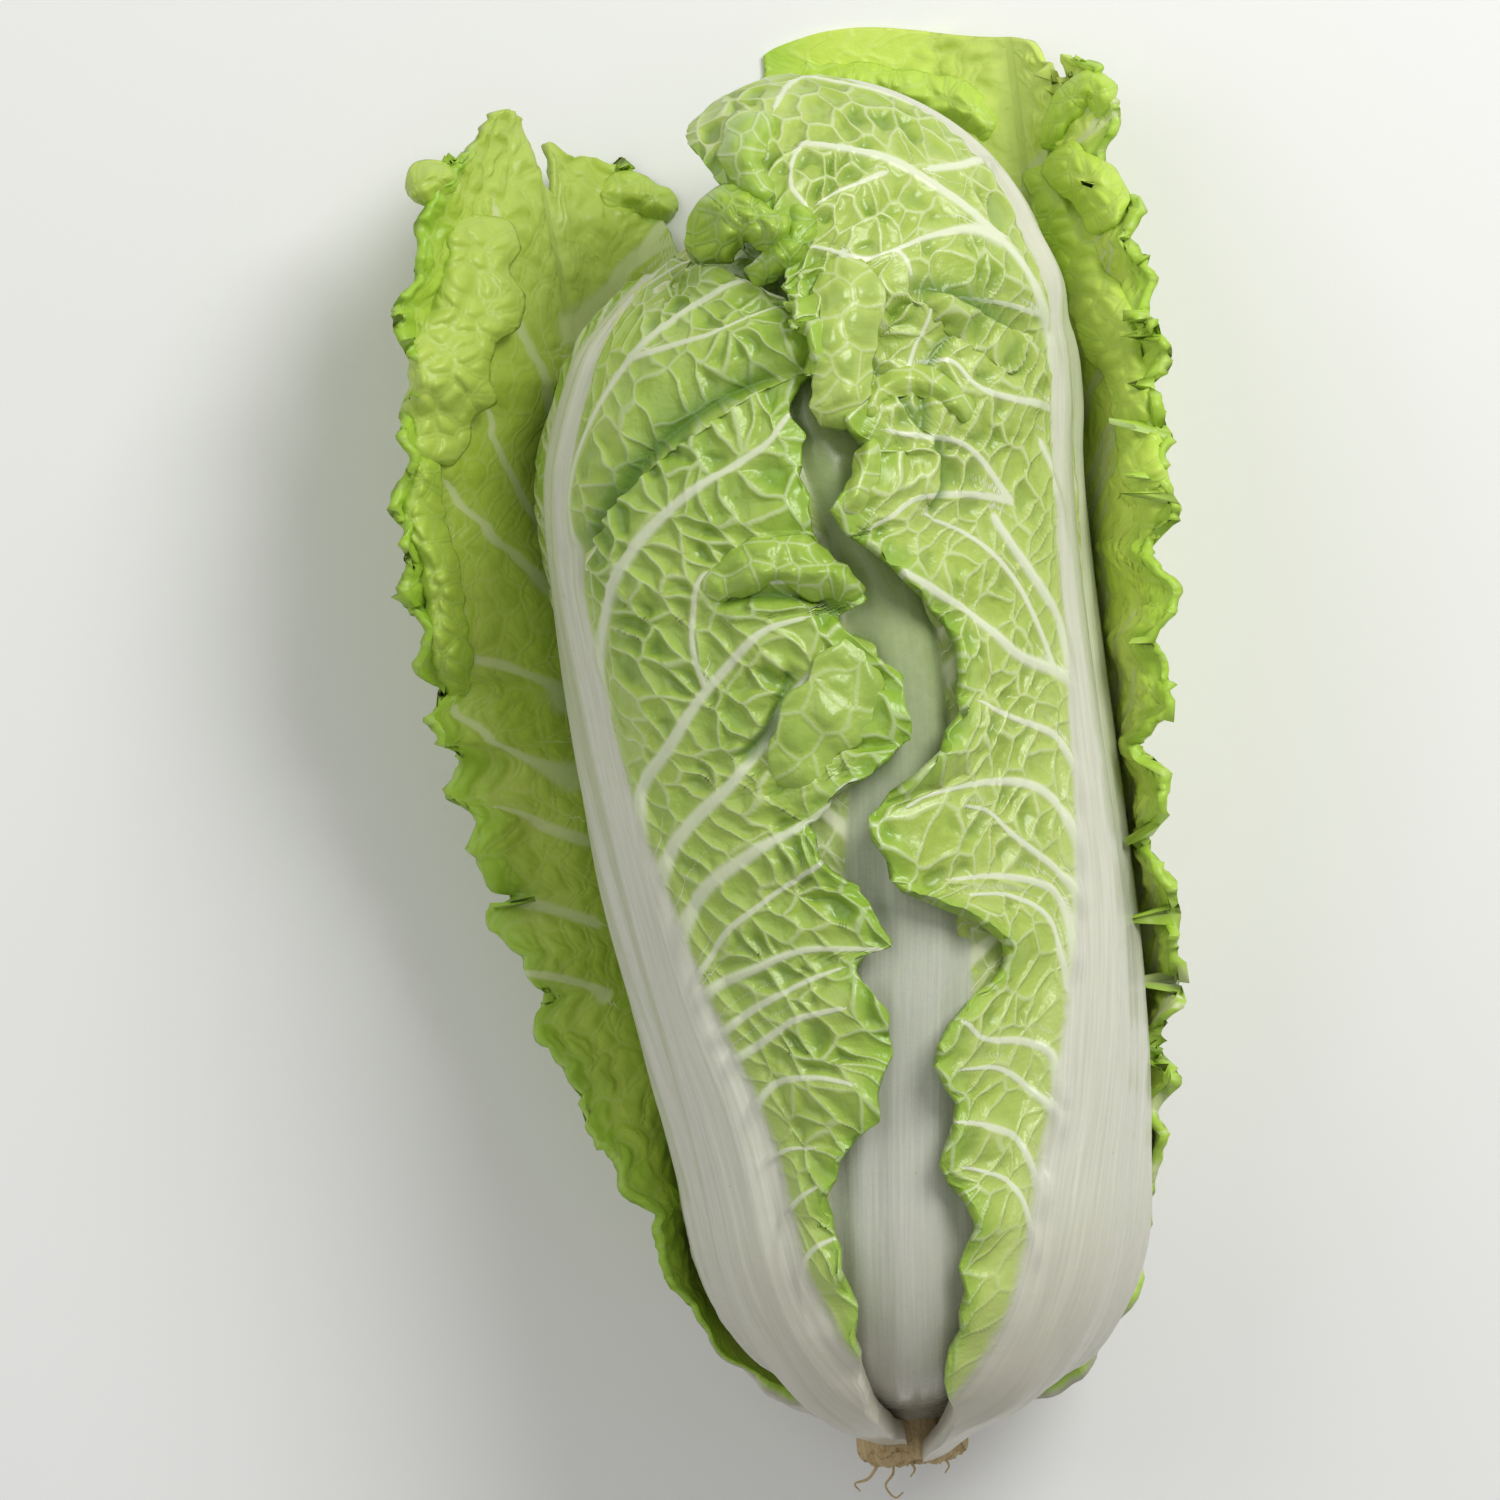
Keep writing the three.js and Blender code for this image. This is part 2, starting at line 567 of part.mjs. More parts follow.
// The heart: packed young leaves as one body, hollow at its foot where the stem enters.
function heartGeometry() {
  const around = 36;
  const levels = [24, 40, 60, 82, 110, 140, 170, 200, 230, 258, 285, 296, 307, 318, 329, 340, 351, 362];
  const socket = stemRadius + socketClearance;
  const socketTop = stemTop + socketClearance;
  const points = [new THREE.Vector3(0, socketTop, axisHeight)];
  const ring = (make) => {
    for (let k = 0; k < around; k++) points.push(make((2 * Math.PI * k) / around));
  };
  const socketRing = (y) =>
    ring((a) => new THREE.Vector3(socket * Math.cos(a), y, axisHeight + socket * Math.sin(a)));
  socketRing(socketTop);
  socketRing(socketMouth);
  for (const level of levels)
    ring((a) => {
      const s = level;
      const tilt = s < cylinderEnd ? 0 : (s - cylinderEnd) / formRadius;
      const p =
        s < cylinderEnd
          ? placeOn(0, s, a)
          : {
              foot: upperCentre,
              x: Math.cos(tilt) * Math.cos(a),
              y: Math.sin(tilt),
              z: Math.cos(tilt) * Math.sin(a),
            };
      return pointAt(p, heartRadius(p));
    });
  points.push(pointAt({ foot: upperCentre, x: 0, y: 1, z: 0 }, along(heartRight, topPole)));
  points.forEach((point) => pressTo(pressed.length * pressedStep, point));
  const rings = (points.length - 2) / around;
  const at = (r, k) => 1 + r * around + (k % around);
  const faces = [];
  for (let k = 0; k < around; k++) {
    faces.push(0, at(0, k), at(0, k + 1));
    faces.push(points.length - 1, at(rings - 1, k + 1), at(rings - 1, k));
    for (let r = 0; r < rings - 1; r++) {
      faces.push(at(r, k), at(r + 1, k), at(r + 1, k + 1));
      faces.push(at(r, k), at(r + 1, k + 1), at(r, k + 1));
    }
  }
  const geometry = new THREE.BufferGeometry();
  geometry.setAttribute(
    "position",
    new THREE.Float32BufferAttribute(points.flatMap((v) => [v.x, v.y, v.z]), 3),
  );
  geometry.setIndex(faces);
  return geometry;
}

// The stem: a short stump with a flat cut face, round about the head's axis.
function stemGeometry() {
  const profile = [
    [0, stemCut], [stemRadius - 2.5, stemCut], [stemRadius - 0.6, stemCut + 1.2],
    [stemRadius, stemCut + 5], [stemRadius, stemTop - 5], [stemRadius - 4, stemTop], [0, stemTop],
  ].map(([r, y]) => new THREE.Vector2(r, y));
  const geometry = new THREE.LatheGeometry(profile, 24);
  return geometry.translate(0, 0, axisHeight);
}

const surface = (colour, roughness) =>
  new THREE.MeshStandardMaterial({ color: colour, roughness, metalness: 0 });

function addPiece(group, name, geometry, material) {
  const mesh = new THREE.Mesh(geometry, material);
  mesh.name = name;
  group.add(mesh);
}

const cabbage = new THREE.Group();
addPiece(cabbage, "stem", stemGeometry(), surface(0xb79a6c, 0.85));
addPiece(cabbage, "heart", heartGeometry(), surface(0xd8e19a, 0.6));
leaves.forEach((leaf, order) =>
  addPiece(cabbage, leaf.name, leafGeometry(leaf, order), surface(leaf.colour, 0.5)),
);

export default cabbage;
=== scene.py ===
import math
import bpy
import numpy as np
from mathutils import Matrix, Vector


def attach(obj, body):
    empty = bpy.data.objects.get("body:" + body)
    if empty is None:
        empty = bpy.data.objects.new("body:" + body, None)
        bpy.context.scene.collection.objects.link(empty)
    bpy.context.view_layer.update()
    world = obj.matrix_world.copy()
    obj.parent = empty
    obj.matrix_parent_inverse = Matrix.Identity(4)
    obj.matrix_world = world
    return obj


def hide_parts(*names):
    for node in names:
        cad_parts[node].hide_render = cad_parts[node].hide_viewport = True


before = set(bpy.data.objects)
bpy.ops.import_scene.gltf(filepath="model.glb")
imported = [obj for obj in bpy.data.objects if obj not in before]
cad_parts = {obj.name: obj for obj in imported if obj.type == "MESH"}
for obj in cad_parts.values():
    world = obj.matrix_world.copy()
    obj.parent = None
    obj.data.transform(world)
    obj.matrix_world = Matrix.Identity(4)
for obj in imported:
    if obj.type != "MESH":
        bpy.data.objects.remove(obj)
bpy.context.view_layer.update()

mm = 0.001
degree = math.pi / 180

# The head that every leaf is laid on, in millimetres, as the solids have it.
head = {
    "lowerCentre": -98.0, "upperCentre": 98.0,  # y of the centres of the rounded base and top
    "formRadius": 57.0,  # radius on which lengths along and across a leaf are measured
    "leastRadius": 14.0,  # and the least one, near the stump
    "axisHeight": 59.1,
    "leafGap": 1.25,  # clear space between two leaves
    "edgeFade": 20.0,  # how far past a leaf's edge the next leaf comes down from it
    "bridged": 1.5,  # how much wider than a rib the next leaf stands over it
    "sheet": 1.0, "rimSheet": 0.7,  # thickness of the blade, and at its edge
    "pressSoftness": 0.8, "hoodSoftness": 5.0,
    "baseFill": 3.0, "fillEnd": 60.0, "fillRun": 40.0,  # how much fuller the base is, and up to where
    "seed": 7,
}
straightStart = head["formRadius"] * math.pi / 2
straightEnd = straightStart + head["upperCentre"] - head["lowerCentre"]


# Small tools, which work on whole arrays at once.

def smooth(x):
    t = np.clip(x, 0, 1)
    return t * t * (3 - 2 * t)


def mix(a, b, t):
    return a + (b - a) * t


def softMax(a, b, softness):
    gap = np.maximum(softness - np.abs(a - b), 0) / softness
    return np.maximum(a, b) + gap * gap * softness / 4


def along(points, x):  # reads [place, value] pairs as one smooth curve
    px, py = np.array(points, float).T
    slope = np.empty(len(px))
    slope[1:-1] = (py[2:] - py[:-2]) / (px[2:] - px[:-2])
    slope[0] = (py[1] - py[0]) / (px[1] - px[0])
    slope[-1] = (py[-1] - py[-2]) / (px[-1] - px[-2])
    x = np.clip(x, px[0], px[-1])
    k = np.clip(np.searchsorted(px, x) - 1, 0, len(px) - 2)
    h = px[k + 1] - px[k]
    t = (x - px[k]) / h
    a = py[k] * (1 + 2 * t) + h * slope[k] * t
    b = py[k + 1] * (3 - 2 * t) - h * slope[k + 1] * (1 - t)
    return a * (1 - t) ** 2 + b * t * t


def scatter(ix, iy, seed):  # an even random number from 0 to 1 for each whole-number place
    h = (ix.astype(np.int64) * 374761393 + iy.astype(np.int64) * 668265263 + seed * 362437) & 0xFFFFFFFF
    h = ((h ^ (h >> 13)) * 1274126177) & 0xFFFFFFFF
    h = ((h ^ (h >> 16)) * 2246822519) & 0xFFFFFFFF
    return ((h ^ (h >> 15)) & 0xFFFFFF) / 0xFFFFFF


def swell(x, y, size, seed):  # soft bumps of about one size, from -1 to 1
    gx, gy = x / size, y / size
    ix, iy = np.floor(gx), np.floor(gy)
    fx, fy = smooth(gx - ix), smooth(gy - iy)
    a = mix(scatter(ix, iy, seed), scatter(ix + 1, iy, seed), fx)
    b = mix(scatter(ix, iy + 1, seed), scatter(ix + 1, iy + 1, seed), fx)
    return mix(a, b, fy) * 2 - 1


netUneven = 0.9  # how uneven the cells of the net are, in the shape and in the colour


def cellTree():  # Blender's own cell texture, read at points, so that the shape and the colour agree
    tree = bpy.data.node_groups.new("readCells", "GeometryNodeTree")
    tree.interface.new_socket("Geometry", in_out="INPUT", socket_type="NodeSocketGeometry")
    tree.interface.new_socket("Geometry", in_out="OUTPUT", socket_type="NodeSocketGeometry")
    start, end = tree.nodes.new("NodeGroupInput"), tree.nodes.new("NodeGroupOutput")
    store = tree.nodes.new("GeometryNodeStoreNamedAttribute")
    store.inputs["Name"].default_value = "cells"
    cells = tree.nodes.new("ShaderNodeTexVoronoi")
    cells.voronoi_dimensions, cells.feature = "2D", "DISTANCE_TO_EDGE"
    cells.inputs["Scale"].default_value = 1.0
    cells.inputs["Randomness"].default_value = netUneven
    place = tree.nodes.new("GeometryNodeInputPosition")
    tree.links.new(place.outputs[0], cells.inputs["Vector"])
    tree.links.new(cells.outputs["Distance"], store.inputs["Value"])
    tree.links.new(start.outputs[0], store.inputs["Geometry"])
    tree.links.new(store.outputs[0], end.inputs[0])
    return tree


readCells = cellTree()


def cellNet(x, y, size):  # distance to the nearest line of an uneven net, in millimetres
    mesh = bpy.data.meshes.new("cellPoints")
    mesh.vertices.add(x.size)
    flat = np.stack([x.ravel() / size, y.ravel() / size, np.zeros(x.size)], -1).astype(np.float32)
    mesh.vertices.foreach_set("co", flat.ravel())
    holder = bpy.data.objects.new("cellPoints", mesh)
    bpy.context.scene.collection.objects.link(holder)
    holder.modifiers.new("cells", "NODES").node_group = readCells
    result = holder.evaluated_get(bpy.context.evaluated_depsgraph_get()).data
    found = np.zeros(x.size, np.float32)
    result.attributes["cells"].data.foreach_get("value", found)
    bpy.data.objects.remove(holder)
    bpy.data.meshes.remove(mesh)
    return found.reshape(x.shape).astype(float) * size


def smoothLine(points, per=5):  # a smooth line through a few points
    p = np.array(points, float)
    p = np.vstack([2 * p[0] - p[1], p, 2 * p[-1] - p[-2]])
    out = []
    for k in range(1, len(p) - 2):
        for t in np.arange(per) / per:
            out.append(0.5 * (2 * p[k] + (p[k + 1] - p[k - 1]) * t
                              + (2 * p[k - 1] - 5 * p[k] + 4 * p[k + 1] - p[k + 2]) * t ** 2
                              + (3 * p[k] - p[k - 1] - 3 * p[k + 1] + p[k + 2]) * t ** 3))
    out.append(p[-2])
    return np.array(out)


def lineField(x, y, line):  # distance from a line, how far along it from 0 to 1, and on which side
    seg = np.diff(line, axis=0)
    lengths = np.hypot(seg[:, 0], seg[:, 1])
    total = lengths.sum()
    best = np.full(x.shape, 1e9)
    share, side = np.zeros(x.shape), np.zeros(x.shape)
    done = 0.0
    for (x0, y0), (dx, dy), length in zip(line[:-1], seg, lengths):
        if length < 1e-6:
            continue
        t = np.clip(((x - x0) * dx + (y - y0) * dy) / length ** 2, 0, 1)
        offX, offY = x - x0 - t * dx, y - y0 - t * dy
        d = np.hypot(offX, offY)
        closer = d < best
        best = np.where(closer, d, best)
        share = np.where(closer, (done + t * length) / total, share)
        side = np.where(closer, np.sign(dx * offY - dy * offX), side)
        done += length
    return best, share, side


# Where things lie on the head.

def placeOn(ribAngle, s, angle):  # the foot on the axis, and the direction outwards
    r = head["formRadius"]
    tilt = np.where(s < straightStart, s - straightStart, np.maximum(s - straightEnd, 0)) / r
    foot = np.clip(head["lowerCentre"] + s - straightStart, head["lowerCentre"], head["upperCentre"])
    across = angle - ribAngle
    up = np.cos(across) * np.cos(tilt)
    over = s > straightEnd
    x = np.where(over, up * np.cos(ribAngle) - np.sin(across) * np.sin(ribAngle), np.cos(tilt) * np.cos(angle))
    y = np.where(over, np.cos(across) * np.sin(tilt), np.sin(tilt))
    z = np.where(over, up * np.sin(ribAngle) + np.sin(across) * np.cos(ribAngle), np.cos(tilt) * np.sin(angle))
    return foot, np.stack([x, y, z], -1)


def readPlace(ribAngle, foot, out):  # the same place as a length along and an angle round
    r = head["formRadius"]
    x, y, z = out[..., 0], out[..., 1], out[..., 2]
    base = (foot <= head["lowerCentre"]) & (y < 0)
    top = (foot >= head["upperCentre"]) & (y > 0)
    up = x * np.cos(ribAngle) + z * np.sin(ribAngle)
    across = z * np.cos(ribAngle) - x * np.sin(ribAngle)
    s = straightStart + np.where(base, np.arcsin(np.clip(y, -1, 1)) * r, foot - head["lowerCentre"])
    s = np.where(top, straightEnd + np.arctan2(y, up) * r, s)
    angle = np.where(top, ribAngle + np.arcsin(np.clip(across, -1, 1)), np.arctan2(z, x))
    return s, angle


def pointAt(foot, out, distance):
    p = out * distance[..., None]
    p[..., 1] += foot
    p[..., 2] += head["axisHeight"]
    return p


def placeUnder(p):
    foot = np.clip(p[..., 1], head["lowerCentre"], head["upperCentre"])
    out = np.stack([p[..., 0], p[..., 1] - foot, p[..., 2] - head["axisHeight"]], -1)
    distance = np.linalg.norm(out, axis=-1)
    return foot, out / distance[..., None], distance


def girthRadius(s):
    r = head["formRadius"]
    return np.maximum(head["leastRadius"], np.where(s < straightStart, r * np.cos((s - straightStart) / r), r))


heart = {  # its radius by length up the head, on each side, and how much fuller each side is than the solids
    "right": [[0, 38], [20, 41], [50, 49], [90, 48], [130, 49], [170, 48], [230, 46], [285, 46], [312, 46],
              [340, 42], [375, 38]],
    "left": [[0, 38], [20, 41], [50, 50], [90, 49], [130, 53], [170, 58], [230, 62], [262, 61], [285, 54],
             [300, 45], [315, 38], [335, 35], [375, 38]],
    "fullerRight": [[30, 0], [90, 4], [130, 5.5], [230, 6], [258, 6.5], [270, 7.5], [285, 6.8], [297, 2],
                    [320, 0]],
    "fullerLeft": [[0, 0], [20, -3], [50, -10], [90, -9], [130, -6], [170, -3.5], [230, -1.5], [262, 0]],
    "bumps": [((-0.22, 0.76, 0.61), 9, 20), ((-0.3, 0.46, 0.84), 7, 22)],  # direction, height, width
    "pressedLevel": 6.3,
}


def heartRadius(foot, out):
    s, _ = readPlace(0.0, foot, out)
    top = foot >= head["upperCentre"]
    level = np.where(top, straightEnd + np.arcsin(np.clip(out[..., 1], 0, 1)) * head["formRadius"], s)
    flat = np.maximum(np.hypot(out[..., 0], out[..., 2]), 1e-6)
    leftShare = smooth((1 - out[..., 0] / flat) / 2)
    sideways = np.clip(out[..., 0] / flat, -1, 1)
    raised = np.where(sideways > 0, along(heart["fullerRight"], level), along(heart["fullerLeft"], level))
    raised = raised * np.abs(sideways) ** 2
    for toward, height, width in heart["bumps"]:
        apart = np.linalg.norm(out - np.array(toward), axis=-1) * head["formRadius"]
        raised = raised + np.where(top, height * (1 - smooth(apart / width)), 0)
    return mix(along(heart["right"], level), along(heart["left"], level), leftShare) + raised


def thicknessAt(leaf, s, across, widened=1.0):
    share = np.abs(across) / (along(leaf["ribWidth"], s) * widened)
    return head["sheet"] + along(leaf["ribHeight"], s) * np.maximum(1 - share ** 2, 0) ** 1.5


wave = {  # how folds and ruffled edges run
    "crest": 4.0,  # how far above its line a fold starts to sink again
    "ends": 7.0, "least": 0.35, "lean": 0.2, "leanTurns": 9.0,  # waves of a free edge, uneven in length
}


def foldAt(leaf, s, angle):  # the blade stands up along a line, higher on the line's tip side
    raised = 0
    place = angle / degree
    for fold in leaf.get("folds", []):
        beside = np.minimum(place - fold["line"][0][0], fold["line"][-1][0] - place)
        above = s - along(fold["line"], place)
        ends = smooth((beside + fold["fade"]) / fold["fade"])
        past = 1 - smooth((above - wave["crest"]) / fold["run"])
        raised = raised + fold["height"] * ends * smooth(above / fold["rise"] + 0.5) * past
    return raised


def ruffleAt(leaf, s, share):  # waves that a free edge stands up in
    r = leaf.get("ruffle")
    if not r:
        return 0
    t = (s - r["from"]) / (r["to"] - r["from"])
    ends = smooth(t * wave["ends"]) * smooth((1 - t) * wave["ends"])
    turns = r["waves"] * t + wave["lean"] * np.sin(wave["leanTurns"] * t)
    height = r["height"] * mix(wave["least"], 1, 0.5 - 0.5 * np.cos(2 * np.pi * turns))
    return np.where(np.sign(share) == r["side"], height * ends * np.abs(share) ** 3, 0)


def seatOf(leaf, s, distance):  # a hood stands clear of the heart
    return softMax(distance, along(leaf["hood"], s), head["hoodSoftness"]) if "hood" in leaf else distance


def overLeaf(leaf, foot, out, distance):
    s, raw = readPlace(leaf["topAngle"], foot, out)
    rib = along(leaf["rib"], s) * degree
    angle = raw + np.round((rib - raw) / (2 * np.pi)) * 2 * np.pi
    low, high = along(leaf["low"], s) * degree, along(leaf["high"], s) * degree
    girth = girthRadius(s)
    inside = np.minimum(np.minimum((angle - low) * girth, (high - angle) * girth), leaf["tip"] - s)
    cover = smooth((inside + head["edgeFade"]) / head["edgeFade"])
    side = np.where(angle < rib, low, high)
    share = np.clip((angle - rib) / np.maximum(np.abs(side - rib), 1e-6), -1, 1)
    thickness = thicknessAt(leaf, s, (angle - rib) * girth, head["bridged"])
    raised = ruffleAt(leaf, s, share) + foldAt(leaf, s, angle)
    return mix(distance, seatOf(leaf, s, distance) + thickness + raised + head["leafGap"], cover)


laid = []  # the leaves laid so far, from the inside outwards


def innerDistance(foot, out):
    s, _ = readPlace(0.0, foot, out)
    fuller = head["baseFill"] * smooth((head["fillEnd"] - s) / head["fillRun"])
    distance = heartRadius(foot, out) + head["leafGap"] + fuller
    for leaf in laid:
        distance = overLeaf(leaf, foot, out, distance)
    return distance


# An opened leaf is laid out in steps from its rib. It leaves the head, and starts to curl, over these lengths.
opening = {"steps": 48, "leaveRun": 12.0, "curlRun": 6.0}


def openFromHead(leaf, s, share):  # the inner face of a leaf whose outer half opens away from the head
    o = leaf["open"]
    rib = along(leaf["rib"], s) * degree
    edge = np.where(share < 0, along(leaf["low"], s), along(leaf["high"], s)) * degree
    opens = np.sign(share) == o["side"]
    angle = np.where(opens, rib, rib + np.abs(share) * (edge - rib))
    foot, out = placeOn(rib, np.minimum(s, straightEnd), angle)
    distance = innerDistance(foot, out) + along(o["lift"], s)
    at = pointAt(foot, out, distance)
    at[..., 1] += np.maximum(0, s - straightEnd)
    radius = distance * np.hypot(out[..., 0], out[..., 2])
    width = along(o["width"], s) + o["ragged"](s)
    step = np.abs(share) * width / opening["steps"]
    heading = rib + o["side"] * np.pi / 2
    bend, follow = along(o["bend"], s), along(o["follow"], s)
    curl = along(o["curl"], s)
    for k in range(opening["steps"]):
        gone = (k + 0.5) * step
        leaving = smooth((gone - follow) / opening["leaveRun"] + 0.5)
        rolled = curl * smooth((gone - along(o["width"], s) + o["curlWidth"]) / opening["curlRun"])
        heading = heading + o["side"] * (mix(1 / radius, bend, leaving) + rolled) * step
        at[..., 0] += np.where(opens, np.cos(heading) * step, 0)
        at[..., 2] += np.where(opens, np.sin(heading) * step, 0)
    foot, out, distance = placeUnder(at)
    least = innerDistance(foot, out)
    return np.where((distance < least)[..., None], pointAt(foot, out, least), at)


def pressTo(level, p):
    z = p[..., 2]
    p[..., 2] = np.where(z > level + 2 * head["pressSoftness"], z, softMax(z, level, head["pressSoftness"]))


def sheetNormal(p):
    n = np.cross(np.gradient(p, axis=0), np.gradient(p, axis=1))
    return n / np.maximum(np.linalg.norm(n, axis=-1, keepdims=True), 1e-9)


# The blade's own relief: veins, the net between them, and puckers.
relief = {
    # The net of small veins between the side ribs, and a finer one in its hollows.
    "netSize": 7.6, "netHeight": 1.15, "netRound": 2.7,
    "fineSize": 3.7, "fineHeight": 0.22, "fineRound": 1.2,
    "netLean": 48 * degree, "netAlong": 1.3, "netAcross": 0.78,  # its cells lie across the side ribs
    "netClear": 0.4,  # and keep this far off them
    "warp": 2.2, "warpSize": 9.0, "fineWarp": 0.7, "fineWarpSize": 3.4,
    "zoneSize": 24.0, "zoneLeast": 0.45,  # how the net grows weaker and stronger over the blade
    "pitDepth": 1.1, "pitSize": 6.5,
    # The side ribs.
    "veinWidth": 0.85, "veinRoot": 2.0,  # as a share of the widths given, and wider at the rib
    "veinHeight": 1.3, "veinRound": 1.4, "veinFoot": 0.3, "veinFootRun": 2.5,
    "veinReach": 12.0, "farSide": 6.0, "farAway": 99.0,  # nothing further off is told apart
    # The whole blade, and the grooves along the rib.
    "pucker": 1.5, "puckerSize": 19.0, "smallPucker": 0.5, "smallPuckerSize": 8.5,
    "groove": 0.62, "fineGroove": 1.7, "grooveSway": 1.3,
}


fan = {  # side ribs by rule: angle from the rib, length, how they straighten, and one branch on each
    "heading": (50, 62), "length": (44, 58), "steps": 8, "straighten": (0.9, 1.0), "gap": (0.8, 1.2),
    "width": (2.0, 2.8), "end": 0.6, "branchWidth": 1.1, "branchEnd": 0.45,
    "forkAt": 3, "branch": 0.42, "branchTurn": 1.5, "fromRib": 0.45,
}


def fanVeins(leaf, side, first, last, gap, seed):  # side ribs for a side of a leaf that has none listed
    rng = np.random.default_rng(seed)
    veins = []
    s = first
    while s < last:
        width = along(leaf["ribWidth"], np.array(s))
        at = np.array([side * width * fan["fromRib"], s])
        heading = rng.uniform(*fan["heading"]) * degree
        length = rng.uniform(*fan["length"])
        line = [at]
        for k in range(fan["steps"]):
            at = at + length / fan["steps"] * np.array([side * math.sin(heading), math.cos(heading)])
            heading *= rng.uniform(*fan["straighten"])
            line.append(at)
        veins.append((np.array(line), rng.uniform(*fan["width"]), fan["end"]))
        turned = heading * fan["branchTurn"]
        away = length * fan["branch"] * np.linspace(0, 1, 4)[:, None]
        branch = line[fan["forkAt"]] + away * np.array([side * math.sin(turned), math.cos(turned)])
        veins.append((branch, fan["branchWidth"], fan["branchEnd"]))
        s += gap * rng.uniform(*fan["gap"])
    return veins


def onLeaf(line, sheet):  # a line seen from above, carried to the flat map of the leaf
    p, across, up = sheet["seen"], sheet["across"], sheet["s"]
    facing = sheetNormal(p)[..., 2] * sheet["facing"] > 0.05
    x, y = p[..., 0][facing], p[..., 1][facing]
    a, s = across[facing], up[facing]
    found = []
    for px, py in line:
        k = np.argmin((x - px) ** 2 + (y - py) ** 2)
        found.append((a[k], s[k]))
    return np.array(found)


